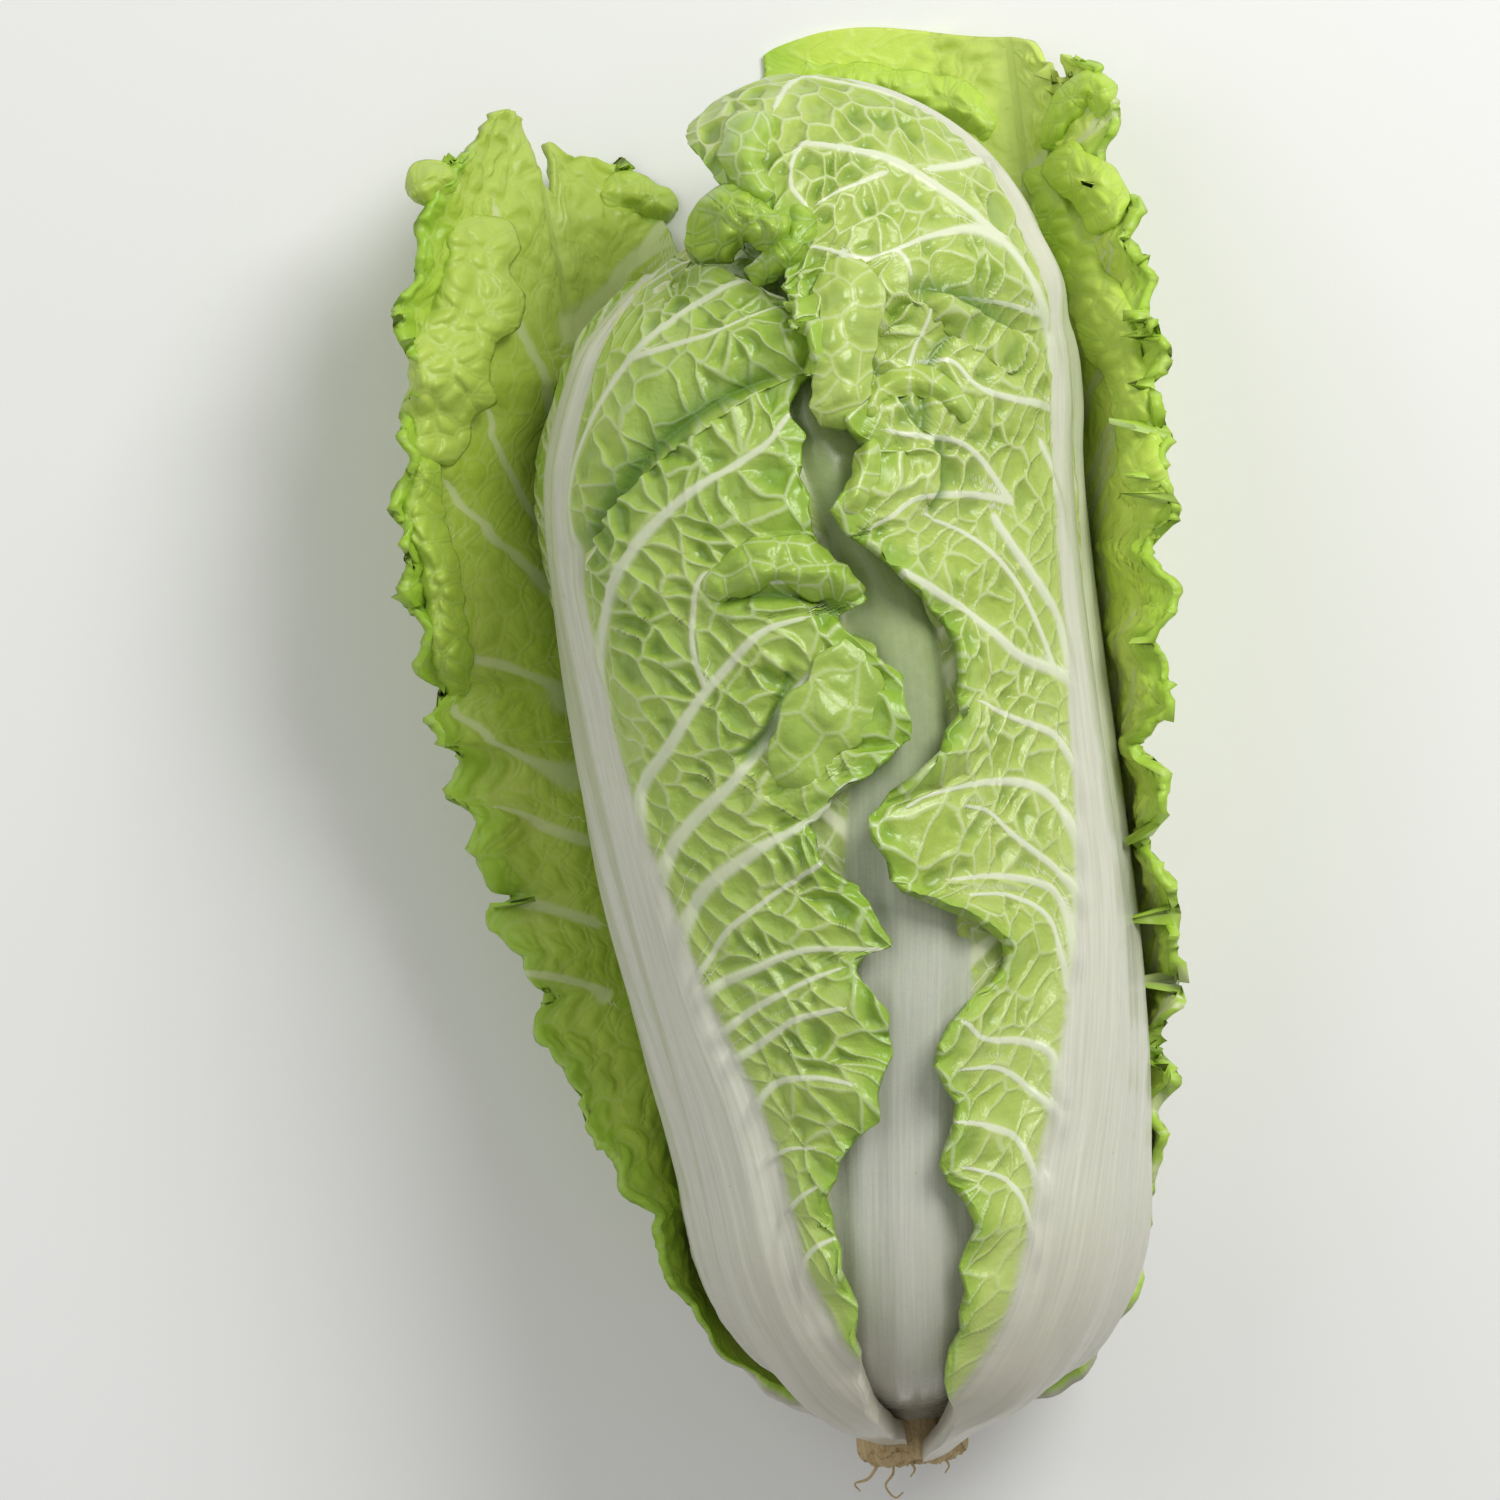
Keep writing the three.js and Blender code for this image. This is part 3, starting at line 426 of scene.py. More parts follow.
def leafRelief(leaf, sheet):
    x, y = sheet["across"], sheet["s"]
    seed = head["seed"] + leaf["order"] * 31
    ribShare = np.abs(x) / np.maximum(along(leaf["ribWidth"], y), 1)
    veins = [(smoothLine(onLeaf(line, sheet)), wide, thin) for wide, thin, line in leaf.get("veins", [])]
    for side, first, last, gap in leaf.get("fans", []):
        veins += fanVeins(leaf, side, first, last, gap, seed + int(first) + side)
    beside = np.full(x.shape, relief["farSide"])
    rise = np.zeros(x.shape)
    clear = np.full(x.shape, relief["farAway"])
    for points, wide, thin in veins:
        low, high = points.min(0) - relief["veinReach"], points.max(0) + relief["veinReach"]
        near = (x > low[0]) & (x < high[0]) & (y > low[1]) & (y < high[1])
        if not near.any():
            continue
        d, share, side = lineField(x[near], y[near], points)
        half = relief["veinWidth"] * (thin + (wide - thin) * np.clip(1 - share, 0, 1) ** 0.9)
        half = half * leaf.get("veinScale", 1.0)
        half = half + relief["veinRoot"] * np.clip(1 - share * 2.6, 0, 1) ** 2 * (wide > 1.3)
        q = d / half
        beside[near] = np.where(q < np.abs(beside[near]), q * side, beside[near])
        profile = np.exp(-(q / relief["veinRound"]) ** 2)
        profile = profile + relief["veinFoot"] * np.exp(-d / relief["veinFootRun"])
        height = relief["veinHeight"] * np.minimum(0.35 + 0.65 * half, 1.1) * smooth(share * 6 + 0.1)
        rise[near] = np.maximum(rise[near], height * profile)
        clear[near] = np.minimum(clear[near], np.maximum(d - half * 0.6, 0))
    wx, wy = (start + relief["warp"] * swell(x, y, relief["warpSize"], seed + first)
              + relief["fineWarp"] * swell(x, y, relief["fineWarpSize"], seed + first + 2)
              for start, first in ((x, 3), (y, 4)))
    sideways, upwards = math.sin(relief["netLean"]), math.cos(relief["netLean"])
    wx, wy = ((np.sign(x) * wx * sideways + wy * upwards) * relief["netAlong"] + 60 * leaf["order"],
              (np.sign(x) * wy * sideways - wx * upwards) * relief["netAcross"])
    net = np.minimum(cellNet(wx, wy, relief["netSize"]), clear + relief["netClear"])
    fine = np.minimum(cellNet(wx, wy, relief["fineSize"]), net)
    blade = smooth((ribShare - leaf.get("ribReach", 0.62)) / mix(0.3, 0.7, smooth((y - 200) / 80)))
    for spot in leaf.get("calm", []):
        d, _, _ = lineField(x, y, smoothLine(onLeaf(spot["line"], sheet)))
        blade = blade * mix(spot["left"], 1, smooth((d - spot["width"]) / 5))
    if "whiteSide" in leaf:  # the rib runs on, white, round the side of the head
        side, width = leaf["whiteSide"]
        beyond = smooth((np.abs(x) - along(width, y)) / 12)
        blade = np.where(np.sign(x) == side, blade * beyond, blade)
        rise = np.where(np.sign(x) == side, rise * beyond, rise)
    blade = blade * smooth((y - leaf.get("whiteBase", -20)) / 45)
    creaseShade, stepped = np.zeros(x.shape), np.zeros(x.shape)
    for step in leaf.get("steps", []):
        d, share, side = lineField(x, y, smoothLine(onLeaf(step["line"], sheet)))
        ends = smooth(share * 6) * smooth((1 - share) * 6)
        above = d * side * step["upSide"]
        lip = smooth(above / 1.6 + 0.5) * (1 - smooth((above - 1.5) / step["run"]))
        wide = step.get("shade", 4.5)
        dip = -step["dip"] * smooth((above + 1.6 * wide) / (1.4 * wide)) * smooth(-above / 1.6 + 0.5)
        stepped = stepped + ends * (step["height"] * lip + dip)
        # Painted shade: a band below each standing edge, which darkens the colour through foldShade; the relief
        # there is calmer too.
        creaseShade = np.maximum(creaseShade, ends * smooth((above + wide) / wide) * smooth(-above / 1.2 + 0.5))
    fromRib = np.maximum(np.abs(x) - 0.9 * along(leaf["ribWidth"], y), 0)
    calmReach = leaf.get("calmReach", 7.0)
    nearRib = np.exp(-fromRib / calmReach)
    zone = mix(relief["zoneLeast"], 1, smooth(0.5 + 0.8 * swell(x, y, relief["zoneSize"], seed + 31)))
    zone = zone * (1 - 0.6 * nearRib) * (1 - 0.8 * creaseShade)
    pits = smooth((swell(x, y, relief["pitSize"], seed + 33) - 0.05) / 0.5)
    pits = pits * smooth(net / 2.4) * (1 - nearRib) * (1 - creaseShade)
    hills = relief["netHeight"] * zone * (1 - smooth(net / relief["netRound"]))
    hills = hills + relief["fineHeight"] * zone * (1 - smooth(fine / relief["fineRound"]))
    hills = hills + relief["pitDepth"] * (1 - pits)
    pucker = 0.5 + 0.5 * swell(x, y, relief["puckerSize"], seed + 11)
    pucker = pucker + relief["smallPucker"] * (0.5 + 0.5 * swell(x, y, relief["smallPuckerSize"], seed + 13))
    outward = softMax(hills * blade, rise * smooth((ribShare - 0.35) / 0.4) * leaf.get("veinLift", 1.0), 0.5)
    outward = outward + relief["pucker"] * pucker * blade
    ridges = np.sin(x * relief["groove"] + relief["grooveSway"] * swell(x, y, 60, seed + 15))
    ridges = ridges + 0.15 * np.sin(x * relief["fineGroove"] + 2)
    outward = outward + leaf.get("ridges", 0.22) * (1 - blade) * ridges * smooth((y - 20) / 20)
    outward = outward + stepped
    return {
        "outward": outward, "blade": blade, "foldShade": creaseShade,
        "pale": np.maximum(0.75 * np.exp(-clear / 3.0), np.exp(-fromRib / (0.6 * calmReach))),
        "veinSide": np.clip(beside, -relief["farSide"], relief["farSide"]),
        "veinNear": 1 - smooth((np.abs(beside) - 2) / 3),
        "netMap": np.stack([wx, wy, 0 * wx], -1),
        # Painted shade: darker in the sunk cells and pits of the net.
        "hollow": (0.35 * smooth(net / 3.0) + 0.15 * smooth(fine / 1.6)) * zone + 0.6 * pits,
        "dome": smooth(net / 2.4) * (0.6 + 0.4 * smooth(fine / 1.3)),
    }


def ragged(seed, coarse, fine):  # an uneven edge, in millimetres
    def offset(s):
        zero = np.zeros(np.shape(s))
        return (coarse * swell(s, zero, 8.0, seed) + fine * swell(s, zero + 5, 2.3, seed + 1)
                + 0.5 * coarse * swell(s, zero + 9, 3.9, seed + 2))
    return offset


# Meshes and materials.

def pieceFrom(name, points, faces, fields, uv, material):
    mesh = bpy.data.meshes.new(name)
    quads = np.asarray(faces, np.int32)
    loops = quads.reshape(-1)
    real = loops >= 0
    counts = (quads >= 0).sum(1)
    starts = np.concatenate([[0], np.cumsum(counts)[:-1]])
    mesh.vertices.add(len(points))
    mesh.vertices.foreach_set("co", (np.asarray(points) * mm).astype(np.float32).ravel())
    mesh.loops.add(int(real.sum()))
    mesh.loops.foreach_set("vertex_index", loops[real])
    mesh.polygons.add(len(quads))
    mesh.polygons.foreach_set("loop_start", starts.astype(np.int32))
    mesh.polygons.foreach_set("loop_total", counts.astype(np.int32))
    mesh.polygons.foreach_set("use_smooth", np.ones(len(quads), bool))
    for key, values in fields.items():
        values = np.asarray(values, np.float32)
        kind = "FLOAT_VECTOR" if values.ndim == 2 else "FLOAT"
        data = mesh.attributes.new(key, kind, "POINT").data
        data.foreach_set("vector" if values.ndim == 2 else "value", values.ravel())
    if uv is not None:
        layer = mesh.uv_layers.new(name="OFBake")
        layer.data.foreach_set("uv", np.asarray(uv, np.float32)[real.reshape(quads.shape)].ravel())
    mesh.update()
    mesh.validate()
    mesh.materials.append(material)
    piece = bpy.data.objects.new(name, mesh)
    bpy.context.scene.collection.objects.link(piece)
    return piece


def tubeFaces(index):  # four-sided faces round a tube, whose rings are the rows of index
    wrapped = np.concatenate([index, index[:, :1]], 1)
    a, b, c, d = wrapped[:-1, :-1], wrapped[:-1, 1:], wrapped[1:, 1:], wrapped[1:, :-1]
    return np.stack([a, d, c, b], -1).reshape(-1, 4)


def endFaces(ring, tip, turned=False):  # three-sided faces from a ring to the point that closes it
    after = np.roll(ring, -1)
    pair = (after, ring) if turned else (ring, after)
    return np.stack([0 * ring + tip, *pair, 0 * ring - 1], -1)


# Where the baking map of a leaf lies: start and size of each of its two islands, and the rim round the first.
bakeMap = {"left": 0.02, "width": 0.96, "outer": (0.02, 0.6), "inner": (0.67, 0.31), "rim": 0.008}


def closedSheet(outer, inner, fields, innerFields, every):
    # Joins two faces of one sheet. The inner face keeps every few points only, and the rim joins the two.
    rows, columns = outer.shape[:2]
    index = np.arange(rows * columns).reshape(rows, columns)
    few = inner[::every, ::every]
    fewRows, fewColumns = few.shape[:2]
    fewIndex = rows * columns + np.arange(fewRows * fewColumns).reshape(fewRows, fewColumns)

    def quads(i, turned):
        a, b, c, d = i[:-1, :-1], i[:-1, 1:], i[1:, 1:], i[1:, :-1]
        q = (a, d, c, b) if turned else (a, b, c, d)
        return np.stack(q, -1).reshape(-1, 4)

    def ring(i):
        return np.concatenate([i[0, :-1], i[:-1, -1], i[-1, :0:-1], i[:0:-1, 0]])

    outerRing, innerRing = ring(index), ring(fewIndex)
    rim = []
    for k, a in enumerate(innerRing):
        b = innerRing[(k + 1) % len(innerRing)]
        run = [outerRing[(k * every + j) % len(outerRing)] for j in range(every + 1)]
        if every == 1:
            rim.append((run[0], run[1], b, a))
            continue
        half = every // 2
        rim += [(run[j], run[j + 1], a, -1) for j in range(half)]
        rim.append((a, run[half], b, -1))
        rim += [(run[j], run[j + 1], b, -1) for j in range(half, every)]
    faces = np.concatenate([quads(index, True), quads(fewIndex, False), np.array(rim, np.int32)])
    points = np.concatenate([outer.reshape(-1, 3), few.reshape(-1, 3)])
    values = {}
    for key, value in fields.items():
        tail = value.shape[2:]
        under = innerFields[key][::every, ::every]
        values[key] = np.concatenate([value.reshape((-1,) + tail), under.reshape((-1,) + tail)])
    v, u = np.meshgrid(np.linspace(0, 1, columns), np.linspace(0, 1, rows))

    def island(start, size, grown):  # grown pushes it out a little on all sides
        return np.stack([bakeMap["left"] - grown + (bakeMap["width"] + 2 * grown) * u,
                         start - grown + (size + 2 * grown) * v], -1)

    outerUv = island(*bakeMap["outer"], 0)
    innerUv = island(*bakeMap["inner"], 0)[::every, ::every]
    pushed = island(*bakeMap["outer"], bakeMap["rim"])[::every, ::every]
    flat = np.concatenate([outerUv.reshape(-1, 2), innerUv.reshape(-1, 2)])
    uv = flat[np.maximum(faces, 0)]
    rimStart = len(faces) - len(rim)
    rimUv = np.concatenate([outerUv.reshape(-1, 2), pushed.reshape(-1, 2)])
    uv[rimStart:] = rimUv[np.maximum(faces[rimStart:], 0)]
    return points, faces, values, uv


def colour(text):
    c = [int(text[k:k + 2], 16) / 255 for k in (0, 2, 4)]
    return tuple(v / 12.92 if v <= 0.04045 else ((v + 0.055) / 1.055) ** 2.4 for v in c) + (1.0,)


class Paint:  # a material that is put together node by node
    def __init__(self, name):
        self.material = bpy.data.materials.new(name)
        self.material.use_nodes = True
        self.tree = self.material.node_tree
        self.shader = self.tree.nodes["Principled BSDF"]

    def node(self, kind, inputs=None, **settings):
        n = self.tree.nodes.new(kind)
        for key, value in settings.items():
            setattr(n, key, value)
        for key, value in (inputs or {}).items():
            self.put(n.inputs[key], value)
        return n

    def put(self, socket, value):
        if isinstance(value, bpy.types.NodeSocket):
            self.tree.links.new(value, socket)
        else:
            socket.default_value = value

    def field(self, name, output="Fac"):
        return self.node("ShaderNodeAttribute", attribute_name=name).outputs[output]

    def math(self, operation, a, b=0.0, c=0.0):
        return self.node("ShaderNodeMath", {0: a, 1: b, 2: c}, operation=operation).outputs[0]

    def band(self, value, low, high, toLow=0.0, toHigh=1.0):
        n = self.node("ShaderNodeMapRange", {"Value": value, "From Min": low, "From Max": high,
                                             "To Min": toLow, "To Max": toHigh}, interpolation_type="SMOOTHSTEP")
        return n.outputs["Result"]

    def blend(self, factor, a, b):
        return self.node("ShaderNodeMix", {0: factor, 6: a, 7: b}, data_type="RGBA").outputs[2]

    def noise(self, place, scale, detail=2.0, rough=0.5):
        return self.node("ShaderNodeTexNoise", {"Vector": place, "Scale": scale, "Detail": detail,
                                                "Roughness": rough}).outputs["Fac"]

    def stretched(self, place, scale):
        return self.node("ShaderNodeMapping", {"Vector": place, "Scale": scale}).outputs["Vector"]

    def bump(self, height, strength, distance):
        n = self.node("ShaderNodeBump", {"Height": height, "Strength": strength, "Distance": distance})
        self.put(self.shader.inputs["Normal"], n.outputs["Normal"])


grain = {  # sizes in millimetres, the same on every leaf
    "blotch": 26.0, "speck": 3.1, "speckShare": 0.22, "thread": 0.36,
    "fibre": (1.1, 0.035, 1.0), "fibreLift": 0.15,
    "baseEnd": (25, 110), "topStart": (120, 240),  # how far up the rib its base and its top are tinted
    "dot": "8a7f5c", "dotShare": 0.6, "dullSpeck": (0.62, 0.62, 0.62, 1.0), "coatRough": 0.28, "relief": 0.0006,
}


def leafMaterial(name, look):
    p = Paint(name)

    def tint(under, where, share, key):  # lays one of the look's colours over another
        return p.blend(p.math("MULTIPLY", where, share), under, colour(look[key]))

    place = p.field("leafMap", "Vector")
    netPlace = p.field("netMap", "Vector")
    blade, hollow, edge, creaseShade = p.field("blade"), p.field("hollow"), p.field("edge"), p.field("foldShade")
    blotch = p.noise(place, 1 / grain["blotch"], 1.0)
    speck = p.noise(place, 1 / grain["speck"], 2.0, 0.6)
    green = p.blend(p.band(blotch, 0.3, 0.7), colour(look["light"]), colour(look["mid"]))
    # Painted shade: a deeper green in the sunk cells and pits of the net.
    green = tint(green, hollow, look["hollow"], "deep")
    green = tint(green, p.field("pale"), look["pale"], "paleGreen")
    green = tint(green, p.band(speck, 0.35, 0.75), grain["speckShare"], "light")
    green = tint(green, edge, look["edgeShare"], "edge")
    uneven = p.math("MULTIPLY_ADD", speck, 0.5, 0.75)
    cells = p.node("ShaderNodeTexVoronoi",
                   {"Vector": netPlace, "Scale": 1 / relief["netSize"], "Randomness": netUneven},
                   voronoi_dimensions="2D", feature="DISTANCE_TO_EDGE").outputs["Distance"]
    across = p.math("DIVIDE", cells, uneven)
    half = grain["thread"] / relief["netSize"]
    thread = p.band(across, 0.45 * half, 1.7 * half, 1.0, 0.0)
    green = tint(green, thread, p.band(p.field("pale"), 0.1, 0.8, look["net"], 0.35 * look["net"]), "vein")
    beside = p.math("ABSOLUTE", p.field("veinSide"))
    veinLine = p.math("MULTIPLY", p.band(beside, 0.45, 1.35, 1.0, 0.0), p.field("veinNear"))
    green = tint(green, veinLine, look["veinShare"], "vein")
    fibre = p.noise(p.stretched(place, grain["fibre"]), 1.0, 2.0, 0.6)
    white = p.blend(p.band(fibre, 0.2, 0.8), colour(look["ribShade"]), colour(look["rib"]))
    fromBase = p.node("ShaderNodeSeparateXYZ", {0: place}).outputs[1]
    # The rib turns greener towards its top. On the white rib leaf this darker green is partly painted shade, where
    # the rib lies deep in the gap between the head leaves.
    white = p.blend(p.band(fromBase, *grain["topStart"], 0.0, look["topTintAndShade"]), white, colour(look["ribTopGreenAndShade"]))
    white = p.blend(p.band(fromBase, *grain["baseEnd"], look["baseTint"], 0.0), white, colour(look["ribBase"]))
    dots = p.math("MULTIPLY", p.band(speck, 0.76, 0.79), p.band(blotch, 0.5, 0.58))
    white = p.blend(p.math("MULTIPLY", dots, grain["dotShare"]), white, colour(grain["dot"]))
    ribLine = p.band(p.math("ADD", blade, p.math("MULTIPLY", speck, 0.3)), 0.1, 0.75)
    skin = p.blend(ribLine, white, green)
    # Painted shade: a dark green below each standing edge of the blade.
    skin = tint(skin, creaseShade, look["creaseShade"], "creaseShadeGreen")
    p.put(p.shader.inputs["Base Color"], skin)
    rough = p.blend(ribLine, *((look[key],) * 3 + (1.0,) for key in ("ribRough", "rough")))
    rough = p.blend(p.band(speck, 0.3, 0.7, 0.0, 0.35), rough, grain["dullSpeck"])
    p.put(p.shader.inputs["Roughness"], rough)
    height = p.math("MULTIPLY_ADD", p.band(across, 0.0, 3.5 * half, 1.0, 0.0), 0.6, speck)
    height = p.math("MULTIPLY_ADD", veinLine, 0.8, p.math("MULTIPLY", height, p.math("SUBTRACT", 1.0, veinLine)))
    height = p.math("ADD", p.math("MULTIPLY", height, ribLine), p.math("MULTIPLY", fibre, grain["fibreLift"]))
    p.bump(height, look["bump"], grain["relief"])
    p.shader.inputs["Coat Weight"].default_value = look["coat"]
    p.shader.inputs["Coat Roughness"].default_value = grain["coatRough"]
    return p.material


# The grid on which heights are seen from above. They are carried on a little past the edges, and smoothed.
seen = {"step": 2.0, "columns": 130, "rows": 200, "empty": -99.0, "carried": 12, "smoothed": 3}


def onGrid(x, y):
    return x / seen["step"] + seen["columns"] / 2, y / seen["step"] + seen["rows"] / 2


def topOf(sheets):  # how high the topmost surface lies
    grid = np.full((seen["columns"], seen["rows"]), seen["empty"])
    for p in sheets:
        gx, gy = onGrid(p[..., 0], p[..., 1])
        ix = np.clip(np.round(gx).astype(int), 0, seen["columns"] - 1)
        iy = np.clip(np.round(gy).astype(int), 0, seen["rows"] - 1)
        np.maximum.at(grid, (ix.ravel(), iy.ravel()), p[..., 2].ravel())
    for k in range(seen["carried"]):
        wide = grid.copy()
        for axis in (0, 1):
            wide = np.maximum(wide, np.maximum(np.roll(grid, 1, axis), np.roll(grid, -1, axis)))
        grid = np.where(grid < seen["empty"] / 2, wide, grid)
    for k in range(seen["smoothed"]):
        for axis in (0, 1):
            grid = (np.roll(grid, 1, axis) + 2 * grid + np.roll(grid, -1, axis)) / 4
    return grid


def heightAt(grid, x, y):
    gx, gy = onGrid(x, y)
    ix, iy = np.floor(gx).astype(int), np.floor(gy).astype(int)
    fx, fy = gx - ix, gy - iy
    low = mix(grid[ix, iy], grid[ix + 1, iy], fx)
    return mix(low, mix(grid[ix, iy + 1], grid[ix + 1, iy + 1], fx), fy)


# A crumpled fold of the blade, along a line seen from above. What a leaf doesn't say about its own folds is here.
flapShape = {
    "columns": 33, "rowLength": 2.8, "thick": 0.7, "tucked": 2.5, "seatedAt": 0.7,
    "floor": 1.3,  # no fold reaches lower, so that none goes through the surface the head lies on
    "cell": 4.4, "blister": 1.2, "lumps": 1.2, "green": 0.4, "pale": 0.2,
}


def flapSheet(flap, top, order):
    flap = {**flapShape, **flap}
    spine = smoothLine(flap["line"], 12)
    gone = np.concatenate([[0], np.cumsum(np.hypot(*np.diff(spine, axis=0).T))])
    rows = 4 * max(round(gone[-1] / flap["rowLength"]), 4)
    t = np.linspace(0, 1, rows + 1)
    cx, cy = np.interp(t * gone[-1], gone, spine[:, 0]), np.interp(t * gone[-1], gone, spine[:, 1])
    tx, ty = np.gradient(cx), np.gradient(cy)
    size = np.hypot(tx, ty)
    v = np.linspace(-1, 1, flap["columns"])[None, :] + 0 * t[:, None]
    far = (t * gone[-1])[:, None] + 0 * v
    seed = 300 + order * 41 + int(abs(flap["line"][0][0]) + abs(flap["line"][0][1]))
    ends = np.sqrt(np.clip(1 - np.abs(2 * t - 1) ** 3, 0, 1))[:, None]
    half = flap["half"] * (0.25 + 0.75 * ends) * (1 + 0.3 * swell(far, np.sign(v) * 7, 6.0, seed))
    half = half + np.abs(v) ** 3 * (0.9 * swell(far, np.sign(v) * 9, 2.6, seed + 1))
    x = cx[:, None] - (ty / size)[:, None] * v * half
    y = cy[:, None] + (tx / size)[:, None] * v * half
    netX, netY = x + 1.3 * swell(x, y, 5, seed + 2), y + 1.3 * swell(x, y, 5, seed + 3)
    net = cellNet(netX, netY, flap["cell"])
    middle = 1 - np.abs(v) ** 3
    lift = along(flap["profile"], v) + flap["lumps"] * middle * swell(x, y, 6.5, seed + 4)
    lift = lift + flap["blister"] * smooth(net / (0.4 * flap["cell"])) * (0.3 + 0.7 * middle)
    seat = heightAt(top, mix(cx[:, None], x, flap["seatedAt"]), mix(cy[:, None], y, flap["seatedAt"]))
    z = np.maximum(seat + ends * lift - (1 - ends) * flap["tucked"], flap["floor"])
    face = np.stack([x, y, z], -1)
    zero = 0 * v
    wideCells = flap["cell"] > 5.2
    fields = {
        "blade": zero + 1, "foldShade": zero, "edge": zero + flap["green"], "pale": zero + flap["pale"],
        "veinSide": zero + relief["farSide"], "veinNear": zero,
        # Painted shade, laid as on the leaves: in the cells where they are large, along the low lines where they are
        # small.
        "hollow": 0.5 * smooth(net / 3) if wideCells else 0.7 - 0.7 * smooth(net / 1.8),
        "leafMap": np.stack([x, y, zero], -1),
        "netMap": np.stack([netX, netY, zero], -1) * relief["netSize"] / flap["cell"],
    }
    return closedSheet(face, face - flap["thick"] * sheetNormal(face), fields, fields, 4)


def joined(sheets):
    points = np.concatenate([sheet[0] for sheet in sheets])
    starts = np.cumsum([0] + [len(sheet[0]) for sheet in sheets[:-1]])
    faces = np.concatenate([np.where(sheet[1] >= 0, sheet[1] + start, -1) for sheet, start in zip(sheets, starts)])
    fields = {key: np.concatenate([sheet[2][key] for sheet in sheets]) for key in sheets[0][2]}
    return points, faces, fields


# How the baking map is shared between a leaf and the folds on it.
strip = {"leaf": 0.88, "left": 0.895, "width": 0.09, "low": 0.02, "height": 0.96, "filled": 0.9}


def laidOut(sheets):  # the baking map: the leaf first, and its folds in a strip beside it
    maps = [sheets[0][3] * (strip["leaf"] if len(sheets) > 1 else 1.0, 1.0)]
    room = strip["height"] / max(len(sheets) - 1, 1)
    for k, sheet in enumerate(sheets[1:]):
        maps.append(sheet[3] * (strip["width"], room * strip["filled"]) + (strip["left"], strip["low"] + k * room))
    return np.concatenate(maps)


def placesOf(leaf, size):  # of the points up the leaf, below its rib or above it, from 0 to 1
    return np.linspace(0, 1, 4 * round(leaf["points"][size] / 4) + 1)


sheetShape = {  # the same for every leaf
    # How the rows and columns of points run out to the edges.
    "rowSlant": 1.7, "rowPower": 1.2, "crowding": 0.9, "tipRound": 9.0, "mapStretch": 1.08,
    # How fast the sheet gets thinner at the rim, and how much of the relief its inner face takes there.
    "rimRun": 12.0, "innerLift": 0.35,
    # The bulges and swells between the veins of an opened leaf, and its pale middle.
    "bulgeLeast": 0.35, "swellSize": 12.0, "swellLeast": 0.4, "swellHeight": 1.3, "paleRun": 22.0,
}


